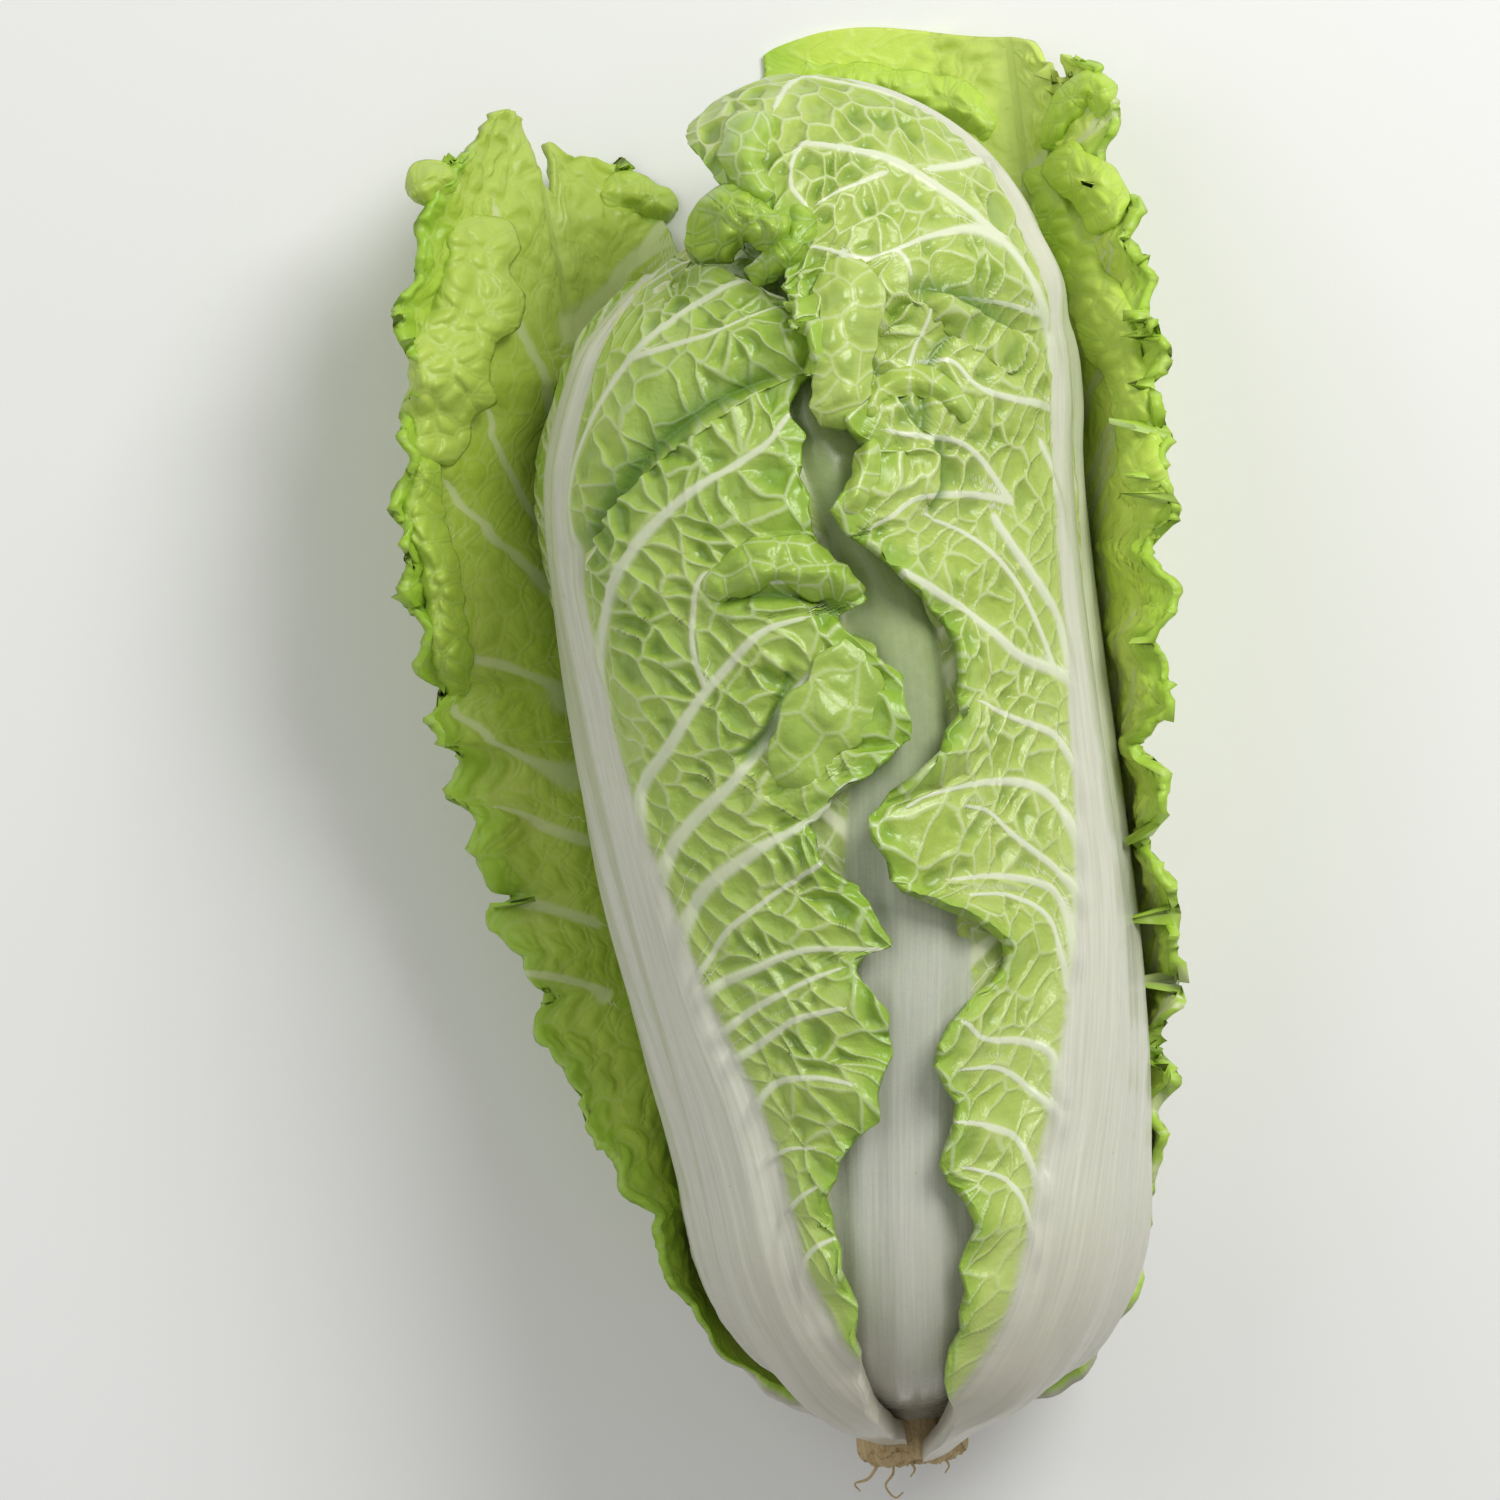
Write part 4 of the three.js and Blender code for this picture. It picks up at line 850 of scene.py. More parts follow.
def leafPiece(leaf, material):
    leaf["order"] = len(laid)
    leaf["topAngle"] = float(along(leaf["rib"], straightEnd)) * degree
    u = placesOf(leaf, 0)[:, None]
    lower, upper = (placesOf(leaf, size) ** sheetShape["crowding"] for size in (1, 2))
    share = np.concatenate([-lower[:0:-1], upper])[None, :] + 0 * u
    length = leaf["tip"] - leaf["start"]
    atRib = leaf["start"] + length * u
    atEdge = leaf["start"] + length * (1 - (1 - u) ** sheetShape["rowSlant"])
    s = mix(atRib, atEdge, np.abs(share) ** sheetShape["rowPower"]) - sheetShape["tipRound"] * share ** 2 * u ** 6
    for place, depth, width in leaf.get("tipNotches", []):
        s = s - depth * np.exp(-((share - place) / width) ** 2) * u ** 8
    rib = along(leaf["rib"], s) * degree
    edge = np.where(share < 0, along(leaf["low"], s), along(leaf["high"], s)) * degree
    girth = girthRadius(s)
    seed = head["seed"] + 100 + leaf["order"] * 17
    uneven = ragged(seed, leaf.get("coarse", 1.0), leaf.get("teeth", 0.7))(s + 400 * (share > 0)) / girth
    edge = edge + np.sign(share) * uneven * smooth(np.minimum(s - leaf["start"], 30) / 30)
    frills = leaf.get("frill", 1.0) * swell(s, share * 0 + 3, 6.5, seed + 5) * np.abs(share) ** 4
    if "open" in leaf:
        uneven = ragged(seed + 9, leaf["coarse"], leaf["teeth"])
        leaf["open"]["ragged"] = lambda place: uneven(place) - sum(
            depth * np.exp(-((place - at) / wide) ** 2) for at, depth, wide in leaf["notches"])
        inner = openFromHead(leaf, s, share)
        opens = np.sign(share) == leaf["open"]["side"]
        width = np.where(opens, along(leaf["open"]["width"], s), np.abs(edge - rib) * girth)
        across = share * width
        normal = sheetNormal(inner)
        thickness = thicknessAt(leaf, s, np.abs(share) * np.where(opens, width, head["formRadius"]))
        inner = inner + normal * (ruffleAt(leaf, s, share) + frills)[..., None]
        outer = inner + normal * thickness[..., None]
        sheet = {"seen": inner, "facing": -1}
    else:
        angle = rib + np.abs(share) * (edge - rib)
        foot, out = placeOn(leaf["topAngle"], s, angle)
        seat = seatOf(leaf, s, innerDistance(foot, out))
        across = (angle - rib) * girth * sheetShape["mapStretch"]
        low = seat + ruffleAt(leaf, s, share) + foldAt(leaf, s, angle) + np.maximum(frills, 0)
        inner = pointAt(foot, out, low)
        outer = pointAt(foot, out, low + thicknessAt(leaf, s, (angle - rib) * girth))
        sheet = {"seen": outer, "facing": 1}
    sheet.update({"across": across, "s": s})
    fields = leafRelief(leaf, sheet)
    normal = sheetNormal(outer)
    lift = fields.pop("outward") * leaf.get("reliefShare", 1.0)
    dome = fields.pop("dome")
    fields["edge"] = 1 - smooth((1 - np.abs(share)) * 60 / leaf.get("edgeBand", 9.0))
    fields["leafMap"] = np.stack([across, s, 0 * s], -1)
    innerFields = fields
    if "open" in leaf:  # the blade between the veins bulges towards the inner face
        nearEdge = np.maximum(smooth((np.abs(share) - 0.45) / 0.5), smooth((u - 0.78) / 0.16))
        bulge = leaf["blister"] * mix(sheetShape["bulgeLeast"], 1, nearEdge) * dome
        swelling = sheetShape["swellHeight"] * swell(across, s, sheetShape["swellSize"], seed + 21)
        bulge = (bulge + (sheetShape["swellLeast"] + nearEdge) * swelling) * fields["blade"]
        outer = outer + normal * (lift * 0.5 - bulge)[..., None]
        inner = inner - normal * bulge[..., None]
        innerFields = dict(fields, blade=1 - (1 - fields["blade"]) * leaf["innerRib"],
                           pale=np.maximum(fields["pale"], 0.9 * np.exp(-np.abs(across) / sheetShape["paleRun"])))
    else:  # at the rim the sheet is thinner, and its inner face takes a share of the relief
        rimNear = np.minimum(np.minimum(1 - np.abs(share), u), (1 - u) * 4 + 0 * share)
        atRim = 1 - smooth(rimNear * sheetShape["rimRun"])
        outer = outer + normal * (lift - (head["sheet"] - head["rimSheet"]) * atRim)[..., None]
        inner = inner + normal * (sheetShape["innerLift"] * lift * atRim)[..., None]
    pressTo(leaf.get("pressedLevel", 0.0), outer)
    pressTo(leaf.get("pressedLevel", 0.0) + head["sheet"], inner)
    laid.append(leaf)
    sheets = [closedSheet(outer, inner, fields, innerFields, leaf.get("every", 4))]
    leaf["top"] = outer
    if "flaps" in leaf:
        top = topOf([outer, inner])
        sheets += [flapSheet(flap, top, leaf["order"]) for flap in leaf["flaps"]]
    piece = pieceFrom(leaf["name"] + "_leaf", *joined(sheets), laidOut(sheets), material)
    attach(piece, "root")
    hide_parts(leaf["name"])
    print(leaf["name"], len(piece.data.vertices), "points")
    return piece


# The camera, the floor and the lights come before the pieces. The camera looks straight down, and frameWidth is
# what it sees from side to side at the height called level.
camera = {
    "distance": 2.0, "frameWidth": 0.345, "middle": (-0.02416, 0.00787), "turn": -4.77 * degree, "level": 0.075,
    "sensor": 36,
}
cameraData = bpy.data.cameras.new("camera")
cameraData.sensor_width = camera["sensor"]
cameraData.lens = camera["sensor"] * camera["distance"] / camera["frameWidth"]
cameraPiece = bpy.data.objects.new("camera", cameraData)
cameraPiece.location = (*camera["middle"], camera["distance"] + camera["level"])
cameraPiece.rotation_euler = (0, 0, camera["turn"])
bpy.context.scene.collection.objects.link(cameraPiece)
bpy.context.scene.camera = cameraPiece

studio = {
    "floor": "f4f4f2", "floorRough": 0.9, "floorReach": 3000.0, "floorLevel": -0.2,
    "world": (1.0, 1.0, 1.0, 1.0), "worldStrength": 0.37,
    # Name, place, size and power of each light.
    "lights": [("keyLight", (0.75, 0.75, 1.1), 0.8, 14.5), ("fillLight", (-0.9, 0.5, 1.3), 1.2, 4.2)],
    "aim": (0, 0, 0.05),
}


def addLight(name, place, size, power):
    data = bpy.data.lights.new(name, "AREA")
    data.shape, data.size, data.energy = "DISK", size, power
    light = bpy.data.objects.new(name, data)
    light.location = place
    light.rotation_euler = (Vector(studio["aim"]) - Vector(place)).to_track_quat("-Z", "Y").to_euler()
    bpy.context.scene.collection.objects.link(light)


for light in studio["lights"]:
    addLight(*light)
world = bpy.data.worlds.new("studio")
world.use_nodes = True
background = world.node_tree.nodes["Background"]
background.inputs["Color"].default_value = studio["world"]
background.inputs["Strength"].default_value = studio["worldStrength"]
bpy.context.scene.world = world
bpy.context.scene.view_settings.view_transform = "Standard"

floorPaint = Paint("floorPaint")
floorPaint.shader.inputs["Base Color"].default_value = colour(studio["floor"])
floorPaint.shader.inputs["Roughness"].default_value = studio["floorRough"]
floorCorners = [(x * studio["floorReach"], y * studio["floorReach"], studio["floorLevel"])
                for x, y in ((-1, -1), (1, -1), (1, 1), (-1, 1))]
floor = pieceFrom("floor", floorCorners, [(0, 1, 2, 3)], {}, None, floorPaint.material)
print("studio ready")


# Finishes, with the colours as red, green and blue in hex.
innerLook = {
    # The greens of the blade, with a darker green painted as shade in its hollows and another painted as shade below
    # its standing edges, the side ribs and the green beside them, and the broad rib.
    "light": "cfdc7c", "mid": "bcd05e", "deep": "98b53a", "edge": "a4c440", "creaseShadeGreen": "4f7418",
    "vein": "e6e9c6", "paleGreen": "d3dd90",
    "rib": "dcdccb", "ribShade": "c9cab8", "ribBase": "bcb2a2", "ribTopGreenAndShade": "d6dcae",
    # How much of each tint is laid on, from 0 to 1. The tints of the hollows and the creases are painted shade.
    "baseTint": 0.6, "topTintAndShade": 0.2, "pale": 0.5, "net": 0.4, "veinShare": 0.85, "hollow": 0.5, "edgeShare": 0.4,
    "creaseShade": 0.5,
    "rough": 0.45, "ribRough": 0.3, "coat": 0.05, "bump": 0.5,
}
# The white rib leaf is seen in the gap between the head leaves: the top of its rib is a darker green, partly its own
# and partly painted shade.
whiteLook = dict(
    innerLook, light="b0c470", mid="98b054", deep="7f9a3e", rib="cfd0c4", ribShade="bcbeb0", ribBase="b5ad9e",
    ribTopGreenAndShade="93a860", topTintAndShade=0.9, ribRough=0.2, coat=0.4,
)
headLook = dict(
    innerLook, light="b8cd5e", mid="a7c248", deep="5f8a16", edge="8dbb2c", creaseShadeGreen="4c7814", vein="e1e7c8",
    paleGreen="c0d178", pale=0.8, net=0.38, veinShare=0.93, hollow=0.95, edgeShare=0.5,
    creaseShade=0.85, rough=0.29, coat=0.25, bump=0.6,
)
wrapperLook = dict(
    innerLook, light="bcd252", mid="a9c63a", deep="86a922", edge="93c42e", creaseShadeGreen="4c7518", vein="d2dca2",
    paleGreen="bccd6a", pale=0.7, net=0.14, veinShare=0.85, hollow=0.45, edgeShare=0.6,
    creaseShade=0.6, rough=0.42, bump=0.4,
)
# The left head leaf takes a darker copy of the head leaf finish: painted shade on the side of the head away from the
# key light.
shadedHeadLook = dict(headLook, hollow=0.85, light="abc651", mid="98b93f", paleGreen="b3c96a", vein="d9e1bd")
heartLook = dict(headLook, light="b6cf46", mid="a3c236", deep="6f9a18", net=0.15)
# The right outer leaf takes a lighter copy of the outer leaf finish: painted light, standing in for the light on it
# and through it.
litWrapperLook = dict(wrapperLook, light="d8ec6a", mid="c8e24c", deep="a4ca2e", paleGreen="cde07a")
innerPaint = leafMaterial("heartLeafPaint", innerLook)
whitePaint = leafMaterial("whiteRibPaint", whiteLook)
headPaint = leafMaterial("headLeafPaint", headLook)
shadedHeadPaint = leafMaterial("shadedHeadLeafPaint", shadedHeadLook)
heartPaint = leafMaterial("youngLeafPaint", heartLook)
wrapperPaint = leafMaterial("wrapperLeafPaint", wrapperLook)
litWrapperPaint = leafMaterial("litWrapperPaint", litWrapperLook)
print("finishes ready")

broadRib = {
    "ribWidth": [[15, 20], [45, 25], [90, 25], [140, 19], [200, 12], [260, 8], [310, 5.5], [380, 3]],
    "ribHeight": [[15, 3], [45, 7], [110, 6.4], [170, 5], [230, 3.6], [300, 2.4], [380, 0.8]],
}
innerRib = {
    "ribWidth": [[15, 18], [60, 21], [120, 17], [180, 12], [240, 8], [300, 5]],
    "ribHeight": [[15, 3.5], [60, 4], [140, 3.4], [220, 2.2], [300, 1]],
}

# The leaves, from the inside outwards. Lengths up a leaf start at the middle of the stump end, in millimetres, and
# angles go round the axis, in degrees: 0 is the right side and 90 the top. Each table has [length, value] pairs.
# start, tip: first and last length. points: how many up the leaf, below its rib and above it.
# rib, low, high: the angles of the rib and the two edges. ribWidth, ribHeight: half width and height of the rib.
# veins: side ribs seen from above, as half width at the rib, half width at the end, and points x, y.
# fans: side ribs by rule, as side, first length, last length, gap. whiteSide: a side left white, and its width.
# steps: edges that stand up along a line seen from above, with painted shade below them. folds: raised folds, as a
# line of [angle, length].
# flaps: crumpled folds that lie on the leaf. calm: lines it is smooth along. hood: least distance from the axis.
# coarse, teeth, frill: how uneven the edge is. every: how many points the inner face skips, plus one.
# open, in leaves that open away from the head: the width of the opened half, how far it follows the head, how it
# bends after that, how its tip lifts, and how its margin curls. tipNotches: place, depth and width of each notch.
innerLeafBack = {
    "name": "inner_leaf_back", "slot": "heart_leaf", "start": 21, "tip": 322, "points": (120, 20, 20),
    "rib": [[20, 262], [300, 264]],
    "low": [[20, 214], [90, 200], [200, 196], [285, 206], [322, 246]],
    "high": [[20, 310], [90, 326], [200, 330], [285, 320], [322, 282]],
    "fans": [(-1, 60, 280, 15), (1, 66, 280, 15)], "pressedLevel": 4.2,
    **innerRib,
}
leafPiece(innerLeafBack, innerPaint)

innerLeafLeft = {
    "name": "inner_leaf_left", "slot": "heart_leaf", "start": 20, "tip": 326, "points": (120, 24, 24),
    "rib": [[20, 176], [200, 172], [300, 170]],
    "low": [[20, 130], [90, 112], [200, 106], [285, 104], [310, 118], [326, 152]],
    "high": [[20, 224], [90, 236], [200, 240], [285, 236], [310, 218], [326, 188]],
    "fans": [(-1, 60, 290, 15), (1, 66, 290, 15)],
    **innerRib,
}
leafPiece(innerLeafLeft, innerPaint)

innerLeafRight = {
    "name": "inner_leaf_right", "slot": "heart_leaf", "start": 19, "tip": 352, "points": (120, 24, 24),
    "rib": [[20, 4], [200, 2], [300, 6]],
    "low": [[20, -44], [90, -58], [200, -62], [285, -56], [330, -32], [352, -8]],
    "high": [[20, 50], [90, 66], [200, 72], [285, 74], [330, 50], [352, 24]],
    "fans": [(-1, 60, 310, 15), (1, 66, 310, 15)],
    **innerRib,
}
leafPiece(innerLeafRight, innerPaint)

innerLeafFront = {
    "name": "inner_leaf_front", "slot": "white_rib", "start": 13, "tip": 306, "points": (360, 44, 52),
    "rib": [[20, 90], [80, 88], [120, 85], [170, 81], [225, 80], [262, 90], [300, 96]],
    "low": [[20, 54], [70, 46], [130, 38], [220, 36], [285, 52], [306, 80]],
    "high": [[20, 122], [70, 130], [130, 136], [220, 134], [285, 126], [306, 110]],
    "ribWidth": [[15, 18], [50, 22], [100, 20], [150, 16], [210, 12], [262, 8], [300, 5]],
    "ribHeight": [[15, 4.5], [50, 5], [130, 4.5], [200, 3.4], [262, 2.2], [300, 1]],
    "fans": [(-1, 110, 280, 13), (1, 116, 280, 13)],
    "ridges": 0.4, "ribReach": 0.9, "veinLift": 0.3, "reliefShare": 0.6,
}
leafPiece(innerLeafFront, whitePaint)

headLeafLeft = {
    "name": "head_leaf_left", "slot": "head_leaf", "start": 12, "tip": 318, "points": (480, 100, 40),
    "calmReach": 6.0,
    "rib": [[17, 108], [35, 111], [52, 119], [71, 126], [93, 130], [116, 134], [140, 141], [163, 145],
            [186, 150], [210, 154], [240, 158], [285, 156]],
    "low": [[17, 96], [33, 100], [50, 104], [68, 101], [90, 104], [100, 101], [112, 91], [135, 88], [146, 95],
            [150, 87], [158, 91], [172, 98], [181, 98], [191, 83], [204, 81], [215, 84], [223, 93], [228, 86],
            [240, 93], [256, 96], [268, 97], [280, 94], [293, 95], [306, 104], [318, 132]],
    "high": [[17, 150], [50, 186], [90, 206], [200, 216], [270, 212], [300, 196], [318, 172]],
    "ruffle": {"side": -1, "from": 40, "to": 262, "height": 3.4, "waves": 13},
    "folds": [{"line": [[96, 281], [108, 276], [117, 270], [126, 264], [134, 257], [145, 246]],
               "height": 2.8, "rise": 6, "run": 44, "fade": 12}],
    "veins": [
        (2.6, 1.0, [(-57, 22), (-59, 36), (-60, 50), (-59, 64), (-57, 75), (-52, 84), (-45, 94), (-36, 102),
                    (-25, 109), (-15, 112), (-6, 110)]),
        (1.6, 0.6, [(-62, 85), (-57, 95), (-51, 104), (-41, 112), (-31, 117), (-26, 120)]),
        (1.0, 0.5, [(-42, 97), (-33, 99), (-23, 101), (-14, 104), (-7, 105)]),
        (2.4, 0.8, [(-57, 22), (-56, 30), (-53, 38), (-48, 49), (-42, 58), (-33, 65), (-24, 70), (-14, 76),
                    (-8, 82)]),
        (2.4, 0.8, [(-55, -20), (-51, -11), (-48, 1), (-41, 10), (-32, 22), (-23, 30), (-17, 34), (-10, 36)]),
        (1.0, 0.5, [(-32, 22), (-34, 32), (-33, 41), (-30, 48), (-22, 46), (-10, 45)]),
        (2.6, 0.8, [(-52, -36), (-49, -25), (-44, -16), (-37, -7), (-28, 1), (-21, 9), (-14, 19), (-7, 28)]),
        (0.9, 0.5, [(-21, 9), (-13, 6), (-6, 4)]),
        (2.6, 0.8, [(-48, -48), (-46, -39), (-41, -29), (-34, -21), (-24, -15), (-15, -11), (-6, -8), (-1, -3)]),
        (1.2, 0.6, [(-46, -56), (-44, -50), (-40, -42), (-32, -33), (-24, -27), (-15, -21), (-10, -18)]),
        (2.0, 0.7, [(-44, -62), (-43, -53), (-36, -45), (-26, -41), (-16, -38), (-5, -38), (2, -39)]),
        (1.6, 0.6, [(-43, -70), (-42, -62), (-35, -55), (-27, -50), (-17, -46), (-8, -43)]),
        (1.8, 0.6, [(-41, -80), (-39, -72), (-34, -63), (-26, -58), (-18, -53), (-8, -51)]),
        (1.8, 0.6, [(-40, -94), (-37, -86), (-31, -75), (-24, -68), (-15, -67), (-7, -69)]),
        (1.2, 0.5, [(-36, -102), (-32, -92), (-29, -86), (-23, -83), (-16, -83)]),
        (1.6, 0.5, [(-32, -118), (-28, -109), (-26, -99), (-21, -94), (-16, -92)]),
        (1.4, 0.5, [(-26, -128), (-23, -121), (-23, -112), (-19, -106), (-13, -104)]),
    ],
    "fans": [(1, 60, 290, 13)],
    "steps": [
        {"line": [(-56, 44), (-53, 56), (-48, 66), (-41, 74), (-33, 81), (-24, 86), (-14, 90), (-5, 93)],
         "upSide": 1, "height": 1.4, "run": 26, "dip": 2.8, "shade": 9},
        {"line": [(-28, 6), (-21, 12), (-16, 20), (-14, 28)], "upSide": -1, "height": 0.4, "run": 8, "dip": 1.6},
        {"line": [(-30, 40), (-20, 42), (-8, 40), (2, 34)], "upSide": 1, "height": 1.5, "run": 14, "dip": 1.0},
    ],
    "whiteSide": (1, [[8, 70], [100, 60], [170, 50], [215, 36], [250, 28], [290, 18], [318, 8]]),
    "flaps": [
        {"line": [(-32, 43), (-25, 47), (-15, 50), (-5, 46), (4, 40)], "half": 5.4, "cell": 5.4, "blister": 1.1,
         "profile": [[-1, -0.8], [-0.6, 2.2], [0.1, 3.4], [0.7, 2.2], [1, -0.8]], "green": 0.35, "lumps": 1.8},
        {"line": [(-17, -2), (-10, 9), (-3, 19), (3, 31)], "half": 8.0, "lumps": 1.0, "blister": 0.7, "pale": 0.4,
         "profile": [[-1, -0.6], [-0.3, 1.6], [0.5, 2.2], [0.85, 2.4], [1, 2]], "green": 0.1, "cell": 8.5},
    ],
    "coarse": 1.4, "teeth": 0.9, "frill": 1.6,
    **broadRib,
}
# This leaf wears the darker copy of the head leaf finish, which is painted shade.
leafPiece(headLeafLeft, shadedHeadPaint)

headLeafRight = {
    "name": "head_leaf_right", "slot": "head_leaf", "start": 12, "tip": 400, "points": (520, 44, 108),
    "calmReach": 13.0,
    "rib": [[16, 70], [28, 67], [44, 55], [64, 48], [86, 43], [109, 37], [131, 33], [154, 29], [200, 27],
            [246, 24], [285, 20]],
    "low": [[16, 22], [50, -10], [90, -34], [200, -40], [285, -34], [330, -26], [375, -12], [400, 8]],
    "high": [[16, 82], [36, 74], [49, 79], [62, 76], [76, 78], [86, 76], [100, 80], [110, 77], [124, 80],
             [132, 76], [141, 63], [150, 64], [158, 80], [170, 88], [182, 86], [192, 75], [204, 69], [218, 70],
             [228, 77], [240, 86], [248, 91], [258, 84], [266, 87], [278, 93], [292, 96], [320, 94], [340, 90],
             [356, 80], [372, 78], [386, 66], [400, 34]],
    "ruffle": {"side": 1, "from": 40, "to": 340, "height": 3.6, "waves": 15},
    "folds": [{"line": [[46, 278], [60, 288], [70, 300], [82, 284], [92, 268]],
               "height": 2.0, "rise": 6, "run": 40, "fade": 12}],
    "hood": [[262, 0], [285, 51], [312, 57], [345, 60], [376, 62], [400, 57]],
    "veins": [
        (2.6, 1.2, [(53, 82), (51, 96), (47, 108), (39, 119), (30, 128), (19, 136), (8, 140), (-1, 142)]),
        (1.0, 0.6, [(-1, 142), (-4, 138), (-4, 131), (-1, 126)]),
        (1.0, 0.5, [(16, 134), (9, 131), (1, 128)]),
        (1.4, 0.6, [(40, 118), (34, 120), (24, 119), (17, 117), (8, 116), (-1, 119)]),
        (0.8, 0.5, [(17, 117), (19, 114), (20, 111)]),
        (0.8, 0.5, [(6, 117), (5, 112), (2, 107), (-4, 107)]),
        (1.0, 0.5, [(51, 101), (42, 104), (32, 106)]),
        (1.6, 1.2, [(49, 132), (46, 135), (40, 137), (33, 135), (26, 134)]),
        (1.8, 0.8, [(37, 142), (30, 147), (22, 151), (9, 156), (0, 158), (-6, 151)]),
        (1.2, 0.6, [(49, 80), (40, 82), (31, 85), (26, 91), (20, 92)]),
        (0.9, 0.5, [(16, 86), (19, 95), (23, 104)]),
        (1.2, 0.6, [(38, 59), (35, 64), (27, 73), (19, 75), (10, 77)]),
        (1.2, 0.6, [(38, 59), (29, 61), (17, 62), (10, 58), (6, 56)]),
        (2.0, 1.5, [(55, 34), (53, 45), (51, 57), (48, 65), (46, 72)]),
        (2.2, 1.5, [(52, 8), (50, 20), (47, 31), (43, 39), (38, 48), (34, 56)]),
        (2.6, 0.8, [(54, -6), (53, 4), (50, 16), (45, 20), (37, 24), (30, 30), (23, 37), (18, 41), (11, 44)]),
        (1.2, 0.5, [(45, 20), (42, 30), (38, 40), (33, 47), (26, 53), (17, 58)]),
        (1.8, 0.5, [(52, -14), (50, -5), (47, 1), (43, 6), (34, 10), (26, 14)]),
        (2.0, 0.6, [(50, -28), (48, -19), (42, -10), (35, -5), (24, -4), (14, -6), (9, -8)]),
        (1.5, 0.5, [(48, -38), (46, -30), (40, -24), (34, -18), (27, -11), (22, -9)]),
        (1.8, 0.6, [(46, -52), (45, -44), (42, -32), (36, -27), (27, -25), (18, -25)]),
        (1.2, 0.5, [(43, -52), (41, -44), (38, -35), (30, -30), (21, -29)]),
        (1.8, 0.5, [(41, -82), (39, -74), (37, -66), (31, -63), (22, -61), (17, -57)]),
        (1.6, 0.5, [(40, -88), (38, -80), (31, -73), (24, -68), (16, -67)]),
        (1.6, 0.5, [(35, -104), (33, -96), (28, -85), (21, -81), (15, -79)]),
        (1.4, 0.5, [(32, -116), (30, -107), (27, -98), (22, -93), (15, -89)]),
    ],
    "fans": [(-1, 60, 360, 13)],
    "steps": [
        {"line": [(0, 111), (4, 100), (7, 94), (13, 84), (19, 76), (21, 88), (28, 98), (36, 104)],
         "upSide": 1, "height": 1.6, "run": 30, "dip": 0.6},
        {"line": [(16, 108), (28, 106), (38, 100), (44, 94), (51, 87)], "upSide": 1, "height": 2.2, "run": 34,
         "dip": 2.8, "shade": 8},
        {"line": [(20, 76), (22, 66), (17, 58)], "upSide": 1, "height": 1.5, "run": 14, "dip": 0.3},
    ],
    "calm": [{"line": [(54, 112), (49, 126), (41, 139), (32, 147), (20, 155), (0, 161), (-8, 160)],
              "width": 4, "left": 0.1}],
    "whiteSide": (-1, [[8, 70], [110, 60], [190, 50], [240, 42], [300, 36], [350, 28], [400, 20]]),
    "flaps": [
        {"line": [(3, 117), (6, 108), (6, 98), (3, 88), (0, 78)], "half": 7.0, "cell": 7.0, "blister": 0.9,
         "profile": [[-1, 0.2], [-0.6, 2.2], [0.3, 2.4], [1, 0.4]], "green": 0.15, "pale": 0.4, "lumps": 1.3},
        {"line": [(9, 79), (11, 85), (18, 88), (26, 85), (31, 77)], "half": 3.4, "cell": 6.0, "blister": 0.7,
         "profile": [[-1, -0.8], [-0.5, 1.8], [0.2, 2.8], [1, -0.8]], "green": 0.2},
        {"line": [(0, 58), (4, 63), (7, 70), (9, 76)], "half": 3.6, "cell": 6.0, "blister": 0.7,
         "profile": [[-1, -0.8], [0, 2.6], [1, -0.8]], "green": 0.3},
        {"line": [(-7, 152), (-13, 147), (-15, 141), (-13, 136), (-9, 131)], "half": 4.8, "blister": 0.9,
         "profile": [[-1, -0.5], [-0.4, 4], [0.4, 5], [1, 0]], "green": 0.9, "cell": 5.5},
    ],
    "coarse": 1.4, "teeth": 0.9, "frill": 1.6,
    **broadRib,
}
leafPiece(headLeafRight, headPaint)

